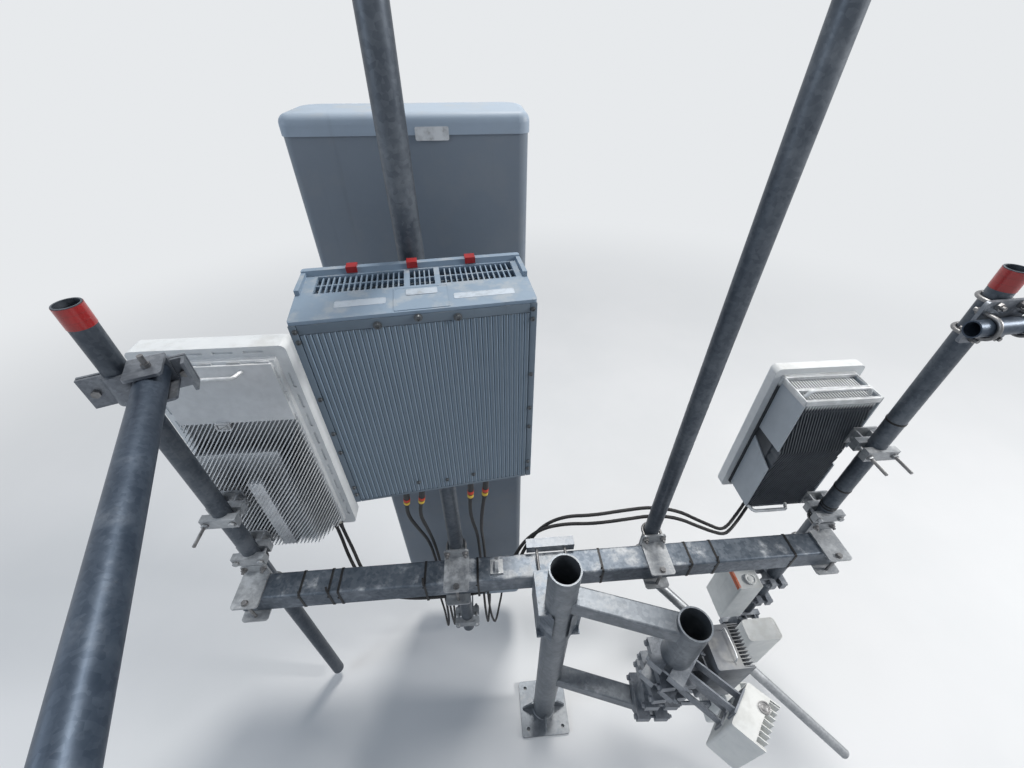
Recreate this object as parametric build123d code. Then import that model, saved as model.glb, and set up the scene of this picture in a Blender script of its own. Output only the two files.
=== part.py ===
from build123d import *
import math
import os

# Sector antenna mount at the head of a cell tower, with its antennas and radios.
# Millimetres. +Z is up, +X runs along the face tube, +Y points away from the tower.
# The origin is on the main post's axis, at the underside of its base flange.

# Face tube
tube_side = 102.0
tube_wall = 5.0
tube_length = 2480.0
tube_top = 1300.0
tube_setback = 180.0          # from the main post's axis to the tube's centre
seat = 0.3                    # clearance between pieces that are bolted face to face

# Posts
post_dia = 114.3
post_wall = 6.0
post_above_tube = 300.0
flange_side = 260.0
flange_thick = 16.0
flange_bolt_spacing = 190.0
flange_hole_dia = 18.0
gusset_height = 90.0
gusset_thick = 8.0
side_post_x = 424.0
side_post_y = -150.0
side_post_foot = 540.0
side_post_above_tube = 160.0
arm_side = 76.0
arm_low_z = 590.0
arm_high_z = 1402.0

# Mount pipes
pipe_dia = 60.3
pipe_wall = 4.0
pipe_end_margin = 50.0        # from the tube's ends to the outer pipes' axes
pipe_left_x = -(tube_length / 2 - pipe_end_margin)
pipe_right_x = tube_length / 2 - pipe_end_margin
pipe_centre_x = -390.0
pipe_bare_x = 440.0
side_pipe_foot = 80.0
side_pipe_head = 2500.0
centre_pipe_foot = 530.0
centre_pipe_length = 3048.0
bare_pipe_foot = 1096.0
bare_pipe_length = 2438.0
tape_height = 56.0
tape_thick = 0.8

# Crossover clamps
plate_thick = 8.0
plate_width = 100.0
saddle_lip = 38.0             # how far the saddle reaches past the tube's front
saddle_ear = 58.0             # how far its web reaches above and below the tube
bolt_dia = 12.0
nut_across = 19.0
nut_thick = 10.0

# Face bracket between the main post and the tube
bracket_width = 170.0
bracket_height = 204.0
bracket_thick = 12.0
back_bar = 40.0
back_bar_gauge = 7.0

# Tie-back pipes
tie_dia = 73.0
tie_wall = 5.0
tie_above_tube = 985.0
tie_left_length = 1150.0
tie_left_turn = -67.6         # degrees from +X, seen from above
tie_left_spread = 77.25       # from the mount pipe's axis to the tie pipe's
tie_clamp_gauge = 8.0
tie_clamp_height = 92.0
tie_clamp_drop = 26.0         # its middle, below the tie pipe's axis
tie_wing = 86.0
tie_fork_end = 106.0
tie_fork_width = 84.0
tie_stud_dia = 14.0
tie_right_dia = 48.3
tie_right_rise = 75.0         # above the left tie pipe
tie_right_length = 760.0
tie_right_turn = 4.0
tie_right_overrun = 105.0
tie_plate_side = 150.0
tie_plate_thick = 10.0

# Stiff arm under the tube
stiff_dia = 42.0
stiff_wall = 3.5
stiff_length = 1200.0
stiff_turn = -34.0            # degrees from +X, seen from above
stiff_slope = 32.0            # degrees below level
stiff_drop = 62.0

# Tall panel antenna
panel_width = 580.0
panel_depth = 200.0
panel_height = 2440.0
panel_foot = 400.0
panel_back_y = 480.0
panel_corner = 60.0
panel_cap = 45.0

# Finned radio on the centre pipe
radio_width = 454.0
radio_height = 545.0
radio_depth = 186.0
radio_foot = 2062.0
radio_reach = 74.0            # from its mount pipe's axis to its back
radio_turn = 6.5              # degrees about its mount pipe
radio_offset = 8.0            # from its mount pipe to its middle
radio_fins = 44
radio_fin_depth = 5.0
radio_fin_thick = 5.2
radio_border = 15.0
guard_height = 26.0

# Flat active antennas: a tray-shaped radome with a deep heat sink on its back
flat_depth = 200.0
flat_back_y = 345.0
flat_fin_thick = 3.6
left_width = 480.0
left_height = 970.0
left_foot = 1262.0
left_offset = 97.0            # from its mount pipe to its middle, along X
left_rim = 38.0
left_radome = 80.0            # depth of its tray
left_recess = 26.0
left_fin_pitch = 15.0
left_fin_lean = 36.0
left_deck = 0.72              # share of its height below the plain deck
left_slope = 230.0            # height over which its fins grow to full depth
slot_length = 62.0
slot_height = 9.0
slot_pitch = 92.0
left_clamp_rise = 392.0       # its upper clamp, above its foot
right_width = 352.0
right_height = 696.0
right_foot = 1312.0
right_offset = -152.0
right_rim = 27.0
right_radome = 50.0
right_recess = 20.0
right_fin_pitch = 11.0
right_fin_lean = 15.0
right_fold = 0.56             # share of its height below the fold of its fins
right_comb = 60.0             # height of the upright fins that show from above
right_clamp_rise = 480.0
cover_thick = 5.0
handle_dia = 14.0

# Cables
jumper_dia = 12.0
feeder_dia = 15.0
gland_y = 456.5
gland_length = 22.0
tie_width = 9.0
tie_gauge = 1.6
tie_slack = 32.0              # room under the tube in the ties that hold the feeders too

# Clamps that carry the antennas and radios
clamp_height = 46.0
clamp_thick = 10.0
clamp_room = 12.0             # from a saddle's top to the clamp above it
arm_gauge = 6.0

# Small radios: width, depth, height
grey_radio = (170.0, 120.0, 330.0)
white_radio = (190.0, 110.0, 360.0)
finned_radio = (150.0, 140.0, 320.0)
plain_radio = (160.0, 110.0, 300.0)
panel_clamp_rise = 240.0      # lower bracket of the panel, above its foot
panel_clamp_drop = 530.0      # upper bracket, below its head
radio_clamp_inset = 90.0

tube_back = tube_setback + tube_side / 2
tube_front = tube_setback - tube_side / 2
tube_mid = tube_top - tube_side / 2
tube_low = tube_top - tube_side
web_y = tube_back + seat
pipe_y = web_y + plate_thick + seat + pipe_dia / 2
tie_z = tube_top + tie_above_tube
lowest_clamp = tube_mid + tube_side / 2 + saddle_ear + clamp_room + clamp_height / 2
left_x = pipe_left_x + left_offset
right_x = pipe_right_x + right_offset


def slab(x0, x1, y0, y1, z0, z1):
    """Box between two corners."""
    return Pos((x0 + x1) / 2, (y0 + y1) / 2, (z0 + z1) / 2) * Box(x1 - x0, y1 - y0, z1 - z0)


def rod(start, end, dia):
    """Round bar between two points."""
    way = Vector(*end) - Vector(*start)
    base = Plane(origin=start, z_dir=way)
    return base * Cylinder(dia / 2, way.length, align=(Align.CENTER, Align.CENTER, Align.MIN))


def pipe(start, end, dia, wall):
    """Open-ended pipe between two points."""
    return rod(start, end, dia) - rod(start, end, dia - 2 * wall)


def nut(centre, axis, across=nut_across, thick=nut_thick):
    """Hexagon nut or bolt head that stands on centre and grows along axis."""
    face = Plane(origin=centre, z_dir=axis)
    return extrude(face * RegularPolygon(across / 2, 6, major_radius=False), thick)


def bolt(start, end, dia=bolt_dia, tail=14.0):
    """Bolt with its head seated at start and its nut at end, both outside the grip."""
    a, b = Vector(*start), Vector(*end)
    axis = (b - a).normalized()
    shank = rod(tuple(a), tuple(b + axis * tail), dia)
    return shank + nut(tuple(a), tuple(-axis)) + nut(tuple(b), tuple(axis))


def u_bolt(dia, grip):
    """U-bolt round a vertical pipe at the origin; its legs run to +Y, nuts seated at Y = grip."""
    bend = dia / 2 + bolt_dia / 2 + seat
    section = Plane(origin=(bend, 0, 0), z_dir=(0, 1, 0)) * Circle(bolt_dia / 2)
    shape = revolve(section, Axis.Z, -180)
    for side in (-bend, bend):
        shape += rod((side, 0, 0), (side, grip + nut_thick + 9, 0), bolt_dia)
        shape += nut((side, grip, 0), (0, 1, 0))
    return shape


def save(name, *pieces):
    """One node: a single solid, or several that don't touch."""
    shape = pieces[0] if len(pieces) == 1 else Compound(children=list(pieces))
    export_step(shape, f"parts/{name}.step")


def face_tube():
    outer = fillet(Rectangle(tube_side, tube_side).vertices(), 9)
    inner_side = tube_side - 2 * tube_wall
    inner = fillet(Rectangle(inner_side, inner_side).vertices(), 4)
    start = Plane(origin=(-tube_length / 2, tube_setback, tube_mid), x_dir=(0, 1, 0), z_dir=(1, 0, 0))
    return extrude(start * (outer - inner), tube_length)


def main_post():
    head = tube_top + post_above_tube
    return pipe((0, 0, flange_thick), (0, 0, head), post_dia, post_wall)


def base_flange():
    plate = fillet(Rectangle(flange_side, flange_side).vertices(), 14)
    holes = GridLocations(flange_bolt_spacing, flange_bolt_spacing, 2, 2) * Circle(flange_hole_dia / 2)
    shape = extrude(plate - holes, flange_thick)
    inner = post_dia / 2 + seat
    outer = flange_side / 2 - 12
    for turn in range(0, 360, 90):
        rib = Polyline((inner, 0), (outer, 0), (outer, 12), (inner + 12, gusset_height),
                       (inner, gusset_height), close=True)
        plane = Plane(origin=(0, 0, flange_thick), x_dir=(1, 0, 0), z_dir=(0, -1, 0))
        shape += Rot(0, 0, turn) * extrude(plane * make_face(rib), gusset_thick / 2, both=True)
    return shape


def saddle_bolt_heights():
    reach = tube_side / 2 + saddle_ear - 20
    return (tube_mid - reach, tube_mid + reach)


def crossover_saddle(x):
    """C-shaped saddle over the tube, whose tall web carries the U-bolts of a mount pipe."""
    web_face = fillet(Rectangle(plate_width, tube_side + 2 * saddle_ear).vertices(), 14)
    plane = Plane(origin=(x, web_y, tube_mid), x_dir=(1, 0, 0), z_dir=(0, 1, 0))
    shape = extrude(plane * web_face, plate_thick)
    lip = tube_front - saddle_lip
    for z in (tube_top + seat, tube_low - seat - plate_thick):
        flat = Rectangle(plate_width, web_y + 2 - lip)
        flat = fillet(flat.vertices().sort_by(Axis.Y)[:2], 12)
        shape += extrude(Plane(origin=(x, (web_y + 2 + lip) / 2, z)) * flat, plate_thick)
    bend = pipe_dia / 2 + bolt_dia / 2 + seat
    for z in saddle_bolt_heights():
        for side in (-bend, bend):
            shape -= rod((x + side, web_y - 5, z), (x + side, pipe_y, z), bolt_dia + 1)
    y = tube_front - saddle_lip / 2
    shape -= rod((x, y, tube_low - 30), (x, y, tube_top + 30), bolt_dia + 1)
    return shape


def crossover_bolts(x):
    """Two U-bolts with nuts, and the long bolt that closes the saddle in front of the tube."""
    hoop = Rot(0, 0, 180) * u_bolt(pipe_dia, pipe_y - web_y + seat)
    pieces = [Pos(x, pipe_y, z) * hoop for z in saddle_bolt_heights()]
    y = tube_front - saddle_lip / 2
    top, low = tube_top + 2 * seat + plate_thick, tube_low - 2 * seat - plate_thick
    pieces.append(bolt((x, y, top), (x, y, low)))
    return pieces


def face_bracket():
    """Bracket that grips the main post and holds the tube's front face."""
    half = bracket_width / 2
    z0, z1 = tube_mid - bracket_height / 2, tube_mid + bracket_height / 2
    back = tube_front - seat
    shape = slab(-half, half, back - bracket_thick, back, z0, z1)
    for side in (-1, 1):
        edge = side * half
        inner = edge - side * bracket_thick
        ear = Polyline((edge, back), (edge, -18), (inner, -18), (inner, back), close=True)
        shape += extrude(Plane.XY.offset(z0) * make_face(ear), bracket_height)
        cheek = Polyline((inner, -18), (inner, 4), (side * 40, -38), (side * 32, -60), close=True)
        shape += extrude(Plane.XY.offset(z0) * make_face(cheek), bracket_height)
    for z in (z0, z1 - bracket_thick):
        shape += slab(-half, half, -40, back, z, z + bracket_thick)
    shape -= rod((0, 0, z0 - 1), (0, 0, z1 + 1), post_dia + 2 * seat)
    for x in back_bar_bolts():
        for z in back_bar_heights():
            shape -= rod((x, back - bracket_thick - 5, z), (x, back + 5, z), bolt_dia + 1)
    return shape


def back_bar_bolts():
    return (-(bracket_width / 2 - 26), bracket_width / 2 - 26)


def back_bar_heights():
    reach = tube_side / 2 + 22
    return (tube_mid - reach, tube_mid + reach)


def back_bars():
    """Two angle bars behind the tube, drawn to the face bracket by long bolts."""
    bars = []
    half = bracket_width / 2 + 15
    for z in back_bar_heights():
        out = 1 if z > tube_mid else -1
        bar = slab(-half, half, web_y, web_y + back_bar, z - 20, z + 20)
        bar -= slab(-half - 1, half + 1, web_y + back_bar_gauge, web_y + back_bar + 1,
                    *sorted((z + out * (20 - back_bar_gauge), z - out * 21)))
        for x in back_bar_bolts():
            bar -= rod((x, web_y - 5, z), (x, web_y + 12, z), bolt_dia + 1)
        bars.append(bar)
    return bars


def back_bar_studs():
    front = tube_front - bracket_thick - 2 * seat
    back = web_y + back_bar_gauge + seat
    return [bolt((x, front, z), (x, back, z)) for x in back_bar_bolts() for z in back_bar_heights()]


def side_post():
    head = tube_top + side_post_above_tube
    return pipe((side_post_x, side_post_y, side_post_foot), (side_post_x, side_post_y, head), post_dia,
                post_wall)


def post_arm(z):
    """Square arm from the main post to the side post, coped to both pipes."""
    span = Vector(side_post_x, side_post_y, 0)
    plane = Plane(origin=(0, 0, z), x_dir=(0, 0, 1), z_dir=tuple(span))
    section = fillet(Rectangle(arm_side, arm_side).vertices(), 7)
    bore = fillet(Rectangle(arm_side - 9, arm_side - 9).vertices(), 3)
    arm = extrude(plane * (section - bore), span.length)
    for x, y in ((0, 0), (side_post_x, side_post_y)):
        arm -= rod((x, y, z - 60), (x, y, z + 60), post_dia + 2 * seat)
    return arm


def tape(x, head):
    ring = Circle(pipe_dia / 2 + seat + tape_thick) - Circle(pipe_dia / 2 + seat / 2)
    return extrude(Plane(origin=(x, pipe_y, head - tape_height - 2)) * ring, tape_height)


def tie_clamp_half(reach):
    """Bent half of the left tie clamp on the +X side of a mount pipe at the origin."""
    near = pipe_dia / 2 + seat
    centre = Pos(2 + tie_clamp_gauge / 2, (reach - tie_wing) / 2)
    strip = centre * Rectangle(tie_clamp_gauge, reach + tie_wing)
    ahead = Pos(102, 0) * Rectangle(200, 600)
    profile = ((Circle(near + tie_clamp_gauge) + strip) & ahead) - Circle(near)
    middle = Plane.XY.offset(-tie_clamp_drop)
    half = extrude(middle * profile, tie_clamp_height / 2, both=True)
    for y in tie_bolt_places():
        half -= rod((0, y, -tie_clamp_drop), (30, y, -tie_clamp_drop), bolt_dia + 1)
    return half


def tie_bolt_places():
    return (24 - tie_wing, tie_left_spread + tie_fork_width / 2 + 16)


def tie_clamp_reach():
    return tie_bolt_places()[1] + 18


def tie_fork():
    """Front half with an end plate and two fork plates that hold the tie pipe between them."""
    shape = tie_clamp_half(tie_clamp_reach())
    left, right = tie_left_spread - tie_fork_width / 2, tie_left_spread + tie_fork_width / 2
    inner = tie_dia / 2 + seat
    outer = inner + tie_clamp_gauge
    shape += slab(9, 9 + tie_clamp_gauge + 3, left, right, -outer, outer)
    plate = Pos((9 + tie_fork_end) / 2, tie_left_spread) * Rectangle(tie_fork_end - 9, tie_fork_width)
    plate = fillet(plate.vertices().sort_by(Axis.X)[-2:], 10)
    for z in (-outer, inner):
        shape += extrude(Plane.XY.offset(z) * plate, tie_clamp_gauge)
    edge = tie_clamp_reach()
    low, high = -tie_clamp_drop - tie_clamp_height / 2, -tie_clamp_drop + tie_clamp_height / 2
    shape += slab(9, 42, edge - tie_clamp_gauge, edge, low, high)
    x, y = tie_stud_spot()
    return shape - rod((x, y, -99), (x, y, 99), tie_stud_dia + 1)


def tie_stud_spot():
    return tie_fork_end - 44, tie_left_spread + 8


def left_tie_pipe():
    """Tie pipe that starts at the fork's end plate, drilled for its stud."""
    start = 9 + tie_clamp_gauge + 3 + seat
    x, y = tie_stud_spot()
    tube = pipe((start, tie_left_spread, 0), (tie_left_length, tie_left_spread, 0), tie_dia, tie_wall)
    return tube - rod((x, y, -99), (x, y, 99), tie_stud_dia + 1)


def left_tie_bolts():
    """Two bolts through the clamp's halves and the stud that goes down through the fork."""
    out = 2 + tie_clamp_gauge + seat
    bolts = [bolt((out, y, -tie_clamp_drop), (-out, y, -tie_clamp_drop)) for y in tie_bolt_places()]
    x, y = tie_stud_spot()
    seat_z = tie_dia / 2 + tie_clamp_gauge + 2 * seat
    return bolts + [bolt((x, y, -seat_z), (x, y, seat_z), dia=tie_stud_dia, tail=34)]


tie_gap = pipe_dia / 2 + tie_right_dia / 2 + tie_plate_thick + 2 * seat


def right_tie_pipe():
    """Tie pipe beside a mount pipe at the origin, its open end past the crossover plate."""
    start = (tie_right_overrun, tie_gap, 0)
    end = (-tie_right_length, tie_gap, 0)
    return pipe(start, end, tie_right_dia, tie_wall - 1)


def tie_plate():
    """Crossover plate between a mount pipe on the origin and a tie pipe along X."""
    near = pipe_dia / 2 + seat
    outline = fillet(Rectangle(tie_plate_side, tie_plate_side * 0.88).vertices(), 12)
    plate = extrude(Plane(origin=(0, near, 0), x_dir=(1, 0, 0), z_dir=(0, 1, 0)) * outline, tie_plate_thick)
    for x, z in tie_holes(pipe_dia, 52) + [(b, a) for a, b in tie_holes(tie_right_dia, 58)]:
        plate -= rod((x, 0, z), (x, near + 40, z), bolt_dia + 1)
    return plate


def tie_holes(dia, spread):
    bend = dia / 2 + bolt_dia / 2 + seat
    return [(side * bend, level * spread) for side in (-1, 1) for level in (-1, 1)]


def tie_bolts():
    """U-bolts of a crossover plate: two round the mount pipe, two round the tie pipe."""
    grip = pipe_dia / 2 + tie_plate_thick + 2 * seat
    back_grip = tie_right_dia / 2 + tie_plate_thick + 2 * seat
    upright = u_bolt(pipe_dia, grip)
    level = Rot(0, 0, 180) * Rot(0, 90, 0) * u_bolt(tie_right_dia, back_grip)
    hoops = [Pos(0, 0, z) * upright for z in (-52, 52)]
    return hoops + [Pos(x, tie_gap, 0) * level for x in (-58, 58)]


stiff_seat_z = tube_low - 2 * seat - plate_thick


def stiff_line():
    """Start of the stiff arm's axis, under the bare pipe's saddle, and its direction."""
    start = Vector(pipe_bare_x, tube_setback, stiff_seat_z - stiff_drop)
    return start, Vector(1, 0, 0).rotate(Axis.Y, stiff_slope).rotate(Axis.Z, stiff_turn)


def stiff_arm():
    """Thin brace that runs from under the tube back to the tower."""
    start, way = stiff_line()
    return pipe(tuple(start + way * 40), tuple(start + way * stiff_length), stiff_dia, stiff_wall)


def stiff_clamp():
    """Plate under the saddle with a boss, and a stub that plugs into the stiff arm."""
    start, way = stiff_line()
    half = plate_width / 2 - 6
    shape = slab(pipe_bare_x - half, pipe_bare_x + half, tube_front + 12, tube_back - 6,
                 stiff_seat_z - plate_thick, stiff_seat_z)
    boss_foot = stiff_seat_z - stiff_drop - stiff_dia / 2
    shape += rod((start.X, start.Y, boss_foot), (start.X, start.Y, stiff_seat_z - plate_thick + 1), 46)
    stub = rod(tuple(start), tuple(start + way * 95), stiff_dia - 2 * stiff_wall - seat)
    return shape + stub


def pipe_jaw(dia):
    """Half clamp on the +Y side of a vertical pipe at the origin."""
    outer = dia / 2 + clamp_thick
    jaw = slab(-clamp_half(dia), clamp_half(dia), 12, outer, -clamp_height / 2, clamp_height / 2)
    jaw -= rod((0, 0, -99), (0, 0, 99), dia + 2 * seat)
    for side in (-1, 1):
        x = side * (clamp_half(dia) - 14)
        jaw -= rod((x, 0, 0), (x, outer + 9, 0), bolt_dia + 1)
    return jaw


def clamp_half(dia):
    return dia / 2 + 30


def pipe_clamp(dia, reach):
    """Clamp round a pipe at the origin with an arm out to a plate at Y = reach."""
    outer = dia / 2 + clamp_thick
    front = pipe_jaw(dia)
    for side in (-1, 1):
        front += slab(*sorted((side * 24, side * (24 + arm_gauge))), outer - 1, reach - seat,
                      -clamp_height / 2, clamp_height / 2)
    half = clamp_height / 2 + 16
    front += slab(-46, 46, reach - seat - arm_gauge, reach - seat, -half, half)
    pieces = [front, Rot(0, 0, 180) * pipe_jaw(dia)]
    for side in (-1, 1):
        x = side * (clamp_half(dia) - 14)
        pieces.append(bolt((x, -outer - seat, 0), (x, outer + seat, 0), tail=18))
    return pieces


def placed(pieces, place):
    return [place * piece for piece in pieces]


def panel_antenna():
    """Long radome: flat back, rounded front, drawn as one profile along Z."""
    back, front = panel_back_y, panel_back_y + panel_depth
    outline = Rectangle(panel_width, panel_depth)
    outline = fillet(outline.vertices().sort_by(Axis.Y)[2:], panel_corner)
    outline = fillet(outline.vertices().sort_by(Axis.Y)[:2], 24)
    z0, z1 = panel_foot + panel_cap + seat, panel_foot + panel_height - panel_cap - seat
    return extrude(Plane(origin=(pipe_centre_x, (back + front) / 2, z0)) * outline, z1 - z0)


def panel_end_cap(top):
    """End cap, a little proud of the radome, with its outer edge rounded."""
    outline = Rectangle(panel_width + 6, panel_depth + 6)
    outline = fillet(outline.vertices().sort_by(Axis.Y)[2:], panel_corner + 3)
    outline = fillet(outline.vertices().sort_by(Axis.Y)[:2], 27)
    z = panel_foot + panel_height - panel_cap if top else panel_foot
    y = panel_back_y + panel_depth / 2
    cap = extrude(Plane(origin=(pipe_centre_x, y, z)) * outline, panel_cap)
    edge = cap.faces().sort_by(Axis.Z)[-1 if top else 0].edges()
    return fillet(edge, 22)


def panel_ports():
    """Round connectors under the lower cap, in two rows."""
    y = panel_back_y + panel_depth / 2
    spots = GridLocations(78, 74, 6, 2).locations
    pieces = []
    for spot in spots:
        place = Pos(pipe_centre_x, y, panel_foot - seat) * spot
        pieces.append(place * (Pos(0, 0, -5) * Cylinder(17, 10) + Pos(0, 0, -24) * Cylinder(12.5, 30)))
    return pieces


def finned_block(width, depth, height, fins, fin_depth, fin_thick, border):
    """Heat sink with upright fins on its -Y face: centred on X, back face at Y = depth, foot at Z = 0."""
    half = width / 2
    shape = slab(-half, half, fin_depth, depth, 0, height)
    shape = fillet(shape.edges().filter_by(Axis.Z).sort_by(Axis.Y)[-2:], 9)
    pitch = (width - 2 * border) / (fins - 1)
    fin = slab(-fin_thick / 2, fin_thick / 2, 0, fin_depth + 1, 4, height - 4)
    row = [Pos(-half + border + i * pitch, 0, 0) * fin for i in range(fins)]
    for side in (-1, 1):
        row.append(slab(*sorted((side * half, side * (half - border / 2))), 0, fin_depth + 1, 0, height))
    return shape.fuse(*row)


def radio_spot():
    """Where the centre radio stands: its middle at the front, at its foot."""
    middle = Pos(radio_offset, -radio_reach - radio_depth, radio_foot)
    return Pos(pipe_centre_x, pipe_y, 0) * Rot(0, 0, radio_turn) * middle


def centre_radio():
    """Radio that faces the tower with a finely ribbed front."""
    body = finned_block(radio_width, radio_depth, radio_height - guard_height, radio_fins, radio_fin_depth,
                        radio_fin_thick, radio_border)
    return radio_spot() * body


def guard_windows():
    """Start and end along X of each grille window."""
    half = radio_width / 2
    return ((-0.86 * half, -0.10 * half), (-0.05 * half, 0.17 * half), (0.22 * half, 0.90 * half))


def radio_guard():
    """Top frame: a sloping deck in front, three grille windows and a tall bar along the back."""
    half = radio_width / 2
    rise = guard_height
    profile = Polyline((2, 0), (2, 7), (radio_depth * 0.46, 13), (radio_depth - 16, 15),
                       (radio_depth - 14, rise), (radio_depth, rise), (radio_depth, 0), close=True)
    end = Plane(origin=(-half, 0, 0), x_dir=(0, 1, 0), z_dir=(1, 0, 0))
    shape = extrude(end * make_face(profile), radio_width)
    shape = fillet(shape.edges().filter_by(Axis.Z), 6)
    for side in (-1, 1):
        low, high = sorted((side * half, side * (half - 9)))
        shape += slab(low, high, radio_depth * 0.5, radio_depth - 4, 0, rise - 3)
    near, far = radio_depth * 0.50, radio_depth - 22
    for start, end in guard_windows():
        shape -= slab(start, end, near, far, -1, rise)
        ribs = round((end - start) / 11)
        for k in range(1, ribs):
            x = start + k * (end - start) / ribs
            shape += slab(x - 1.3, x + 1.3, near - 1, far + 1, 2, 12)
        shape += slab(start - 1, end + 1, (near + far) / 2 - 1.5, (near + far) / 2 + 1.5, 2, 12)
    panel_start, panel_end = guard_windows()[1]
    shape -= slab(panel_start - 4, panel_end + 4, 14, near - 12, 6, rise)
    return radio_spot() * Pos(0, 0, radio_height - guard_height + seat) * shape


def guard_tabs():
    """Three soft tabs clipped over the guard's back bar."""
    tabs = []
    for x in (-0.56, -0.02, 0.52):
        place = Pos(x * radio_width / 2, radio_depth - 7, radio_height + 2 * seat)
        tab = slab(-11, 11, -11.5, 11, 0, 3.5)
        tab += slab(-11, 11, -11.5, -9.2, -9.5, 3.5) + slab(-11, 11, 7.6, 11, -14, 3.5)
        tabs.append(radio_spot() * place * tab)
    return tabs


def flat_antenna(x, foot, width, height, depth, rim, recess):
    """Tray-shaped radome of a flat antenna, its open rim towards the tower."""
    outline = fillet(Rectangle(width, height).vertices(), 20)
    middle = (x, flat_back_y + flat_depth - depth, foot + height / 2)
    plane = Plane(origin=middle, x_dir=(1, 0, 0), z_dir=(0, 1, 0))
    tray = extrude(plane * outline, depth)
    tray = fillet(tray.faces().sort_by(Axis.Y)[-1].edges(), min(16, depth * 0.3))
    hollow = fillet(Rectangle(width - 2 * rim, height - 2 * rim).vertices(), 8)
    return tray - extrude(plane * hollow, recess)


def left_antenna():
    """Left radome, with a row of slots along the rim on both of its long sides and its top."""
    shape = flat_antenna(left_x, left_foot, left_width, left_height, left_radome, left_rim, left_recess)
    middle = Pos(left_x, flat_back_y + flat_depth - left_radome, left_foot + left_height / 2)
    for side in (-1, 1):
        for i in range(int((left_height - 80) / slot_pitch)):
            z = (i + 0.5) * slot_pitch - left_height / 2 + 50
            slot = Pos(side * (left_width - left_rim) / 2, 0, z) * Box(slot_height, 9, slot_length)
            shape -= middle * slot
    for i in range(int((left_width - 80) / slot_pitch)):
        x = (i + 0.5) * slot_pitch - left_width / 2 + 56
        shape -= middle * Pos(x, 0, (left_height - left_rim) / 2) * Box(slot_length, 9, slot_height)
    return shape


def slanted_fins(width, depth, z0, z1, pitch, lean):
    """Row of fins across X that lean over by an angle, cut off square at Z = z0 and z1."""
    tall = (z1 - z0) / abs(math.cos(math.radians(lean))) + 60
    sweep_out = (z1 - z0) * abs(math.tan(math.radians(lean))) / 2
    field = slab(-width / 2, width / 2, 0, depth, z0, z1)
    fin = Rot(0, lean, 0) * Box(flat_fin_thick, 2 * depth, tall)
    fins = []
    count = int((width + 2 * sweep_out) / pitch)
    for i in range(count):
        place = Pos(-width / 2 - sweep_out + (i + 0.5) * pitch, depth, (z0 + z1) / 2)
        cut = (place * fin) & field
        if cut is not None and cut.volume > 400:
            fins.append(cut)
    return fins


def left_heat_sink():
    """Plain deck above; below it slanted fins that grow deeper downwards and shallower to the right."""
    inset = left_rim + seat
    wide, tall = left_width - 2 * inset, left_height - 2 * inset
    floor = flat_depth - left_radome + left_recess - seat
    shape = fillet(slab(-wide / 2, wide / 2, floor - 40, floor, 0, tall).edges().filter_by(Axis.Y), 9)
    step = tall * left_deck
    deck = slab(-wide / 2 + 10, wide / 2 - 10, floor - 54, floor - 39, step, tall - 10)
    deck = fillet(deck.edges().filter_by(Axis.X).sort_by(Axis.Z)[-1:], 8)
    crown = Polyline((-wide / 2 + 6, floor - 39), (-wide / 2 + 6, 12), (-wide / 2 + 18, 0), (wide * 0.30, 0),
                     (wide / 2 - 6, floor - 54), (wide / 2 - 6, floor - 39), close=True)
    slope = Polyline((0, 12), (floor - 39, 12), (floor - 39, step + 2), (floor - 54, step + 2),
                     (0, step - left_slope), close=True)
    profile = Plane(origin=(-wide, 0, 0), x_dir=(0, 1, 0), z_dir=(1, 0, 0)) * make_face(slope)
    envelope = extrude(Plane.XY * make_face(crown), tall) & extrude(profile, 2 * wide)
    core = slab(-wide / 2 + 14, wide * 0.26, 52, floor - 39, 16, step - left_slope * 0.5)
    fins = [fin & envelope for fin in slanted_fins(wide - 12, floor - 38, 12, step + 2, left_fin_pitch,
                                                   left_fin_lean)]
    spine = slab(-26, 26, 4, floor - 39, 12, step - left_slope) & envelope
    shape = shape.fuse(deck, core, spine, *fins)
    return Pos(left_x, flat_back_y, left_foot + inset) * shape


def right_heat_sink():
    """Block with plain sides, fins that fold part way up its back and a comb of fins on its top."""
    inset = right_rim + seat
    wide, tall = right_width - 2 * inset, right_height - 2 * inset
    floor = flat_depth - right_radome + right_recess - seat
    shape = fillet(slab(-wide / 2, wide / 2, floor - 30, floor, 0, tall).edges().filter_by(Axis.Y), 9)
    edge = wide / 2 - 10
    shoulder = tall - right_comb
    block = slab(-edge, edge, 46, floor - 29, 16, shoulder)
    fold = tall * right_fold
    span = 2 * (edge - cover_thick)
    fins = slanted_fins(span, 47, 16, fold, right_fin_pitch, right_fin_lean)
    fins += slanted_fins(span, 47, fold, shoulder, right_fin_pitch, -right_fin_lean)
    fins += slanted_fins(span, floor - 29, shoulder - 1, tall - 16, right_fin_pitch, 0)
    bars = [slab(-edge, edge, 0, 12, tall - 26, tall - 10), slab(-edge, edge, 62, 70, tall - 22, tall - 12),
            slab(-edge, edge, 0, 10, 6, 18)]
    shape = shape.fuse(block, *bars, *fins)
    return Pos(right_x, flat_back_y, right_foot + inset) * shape


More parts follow.
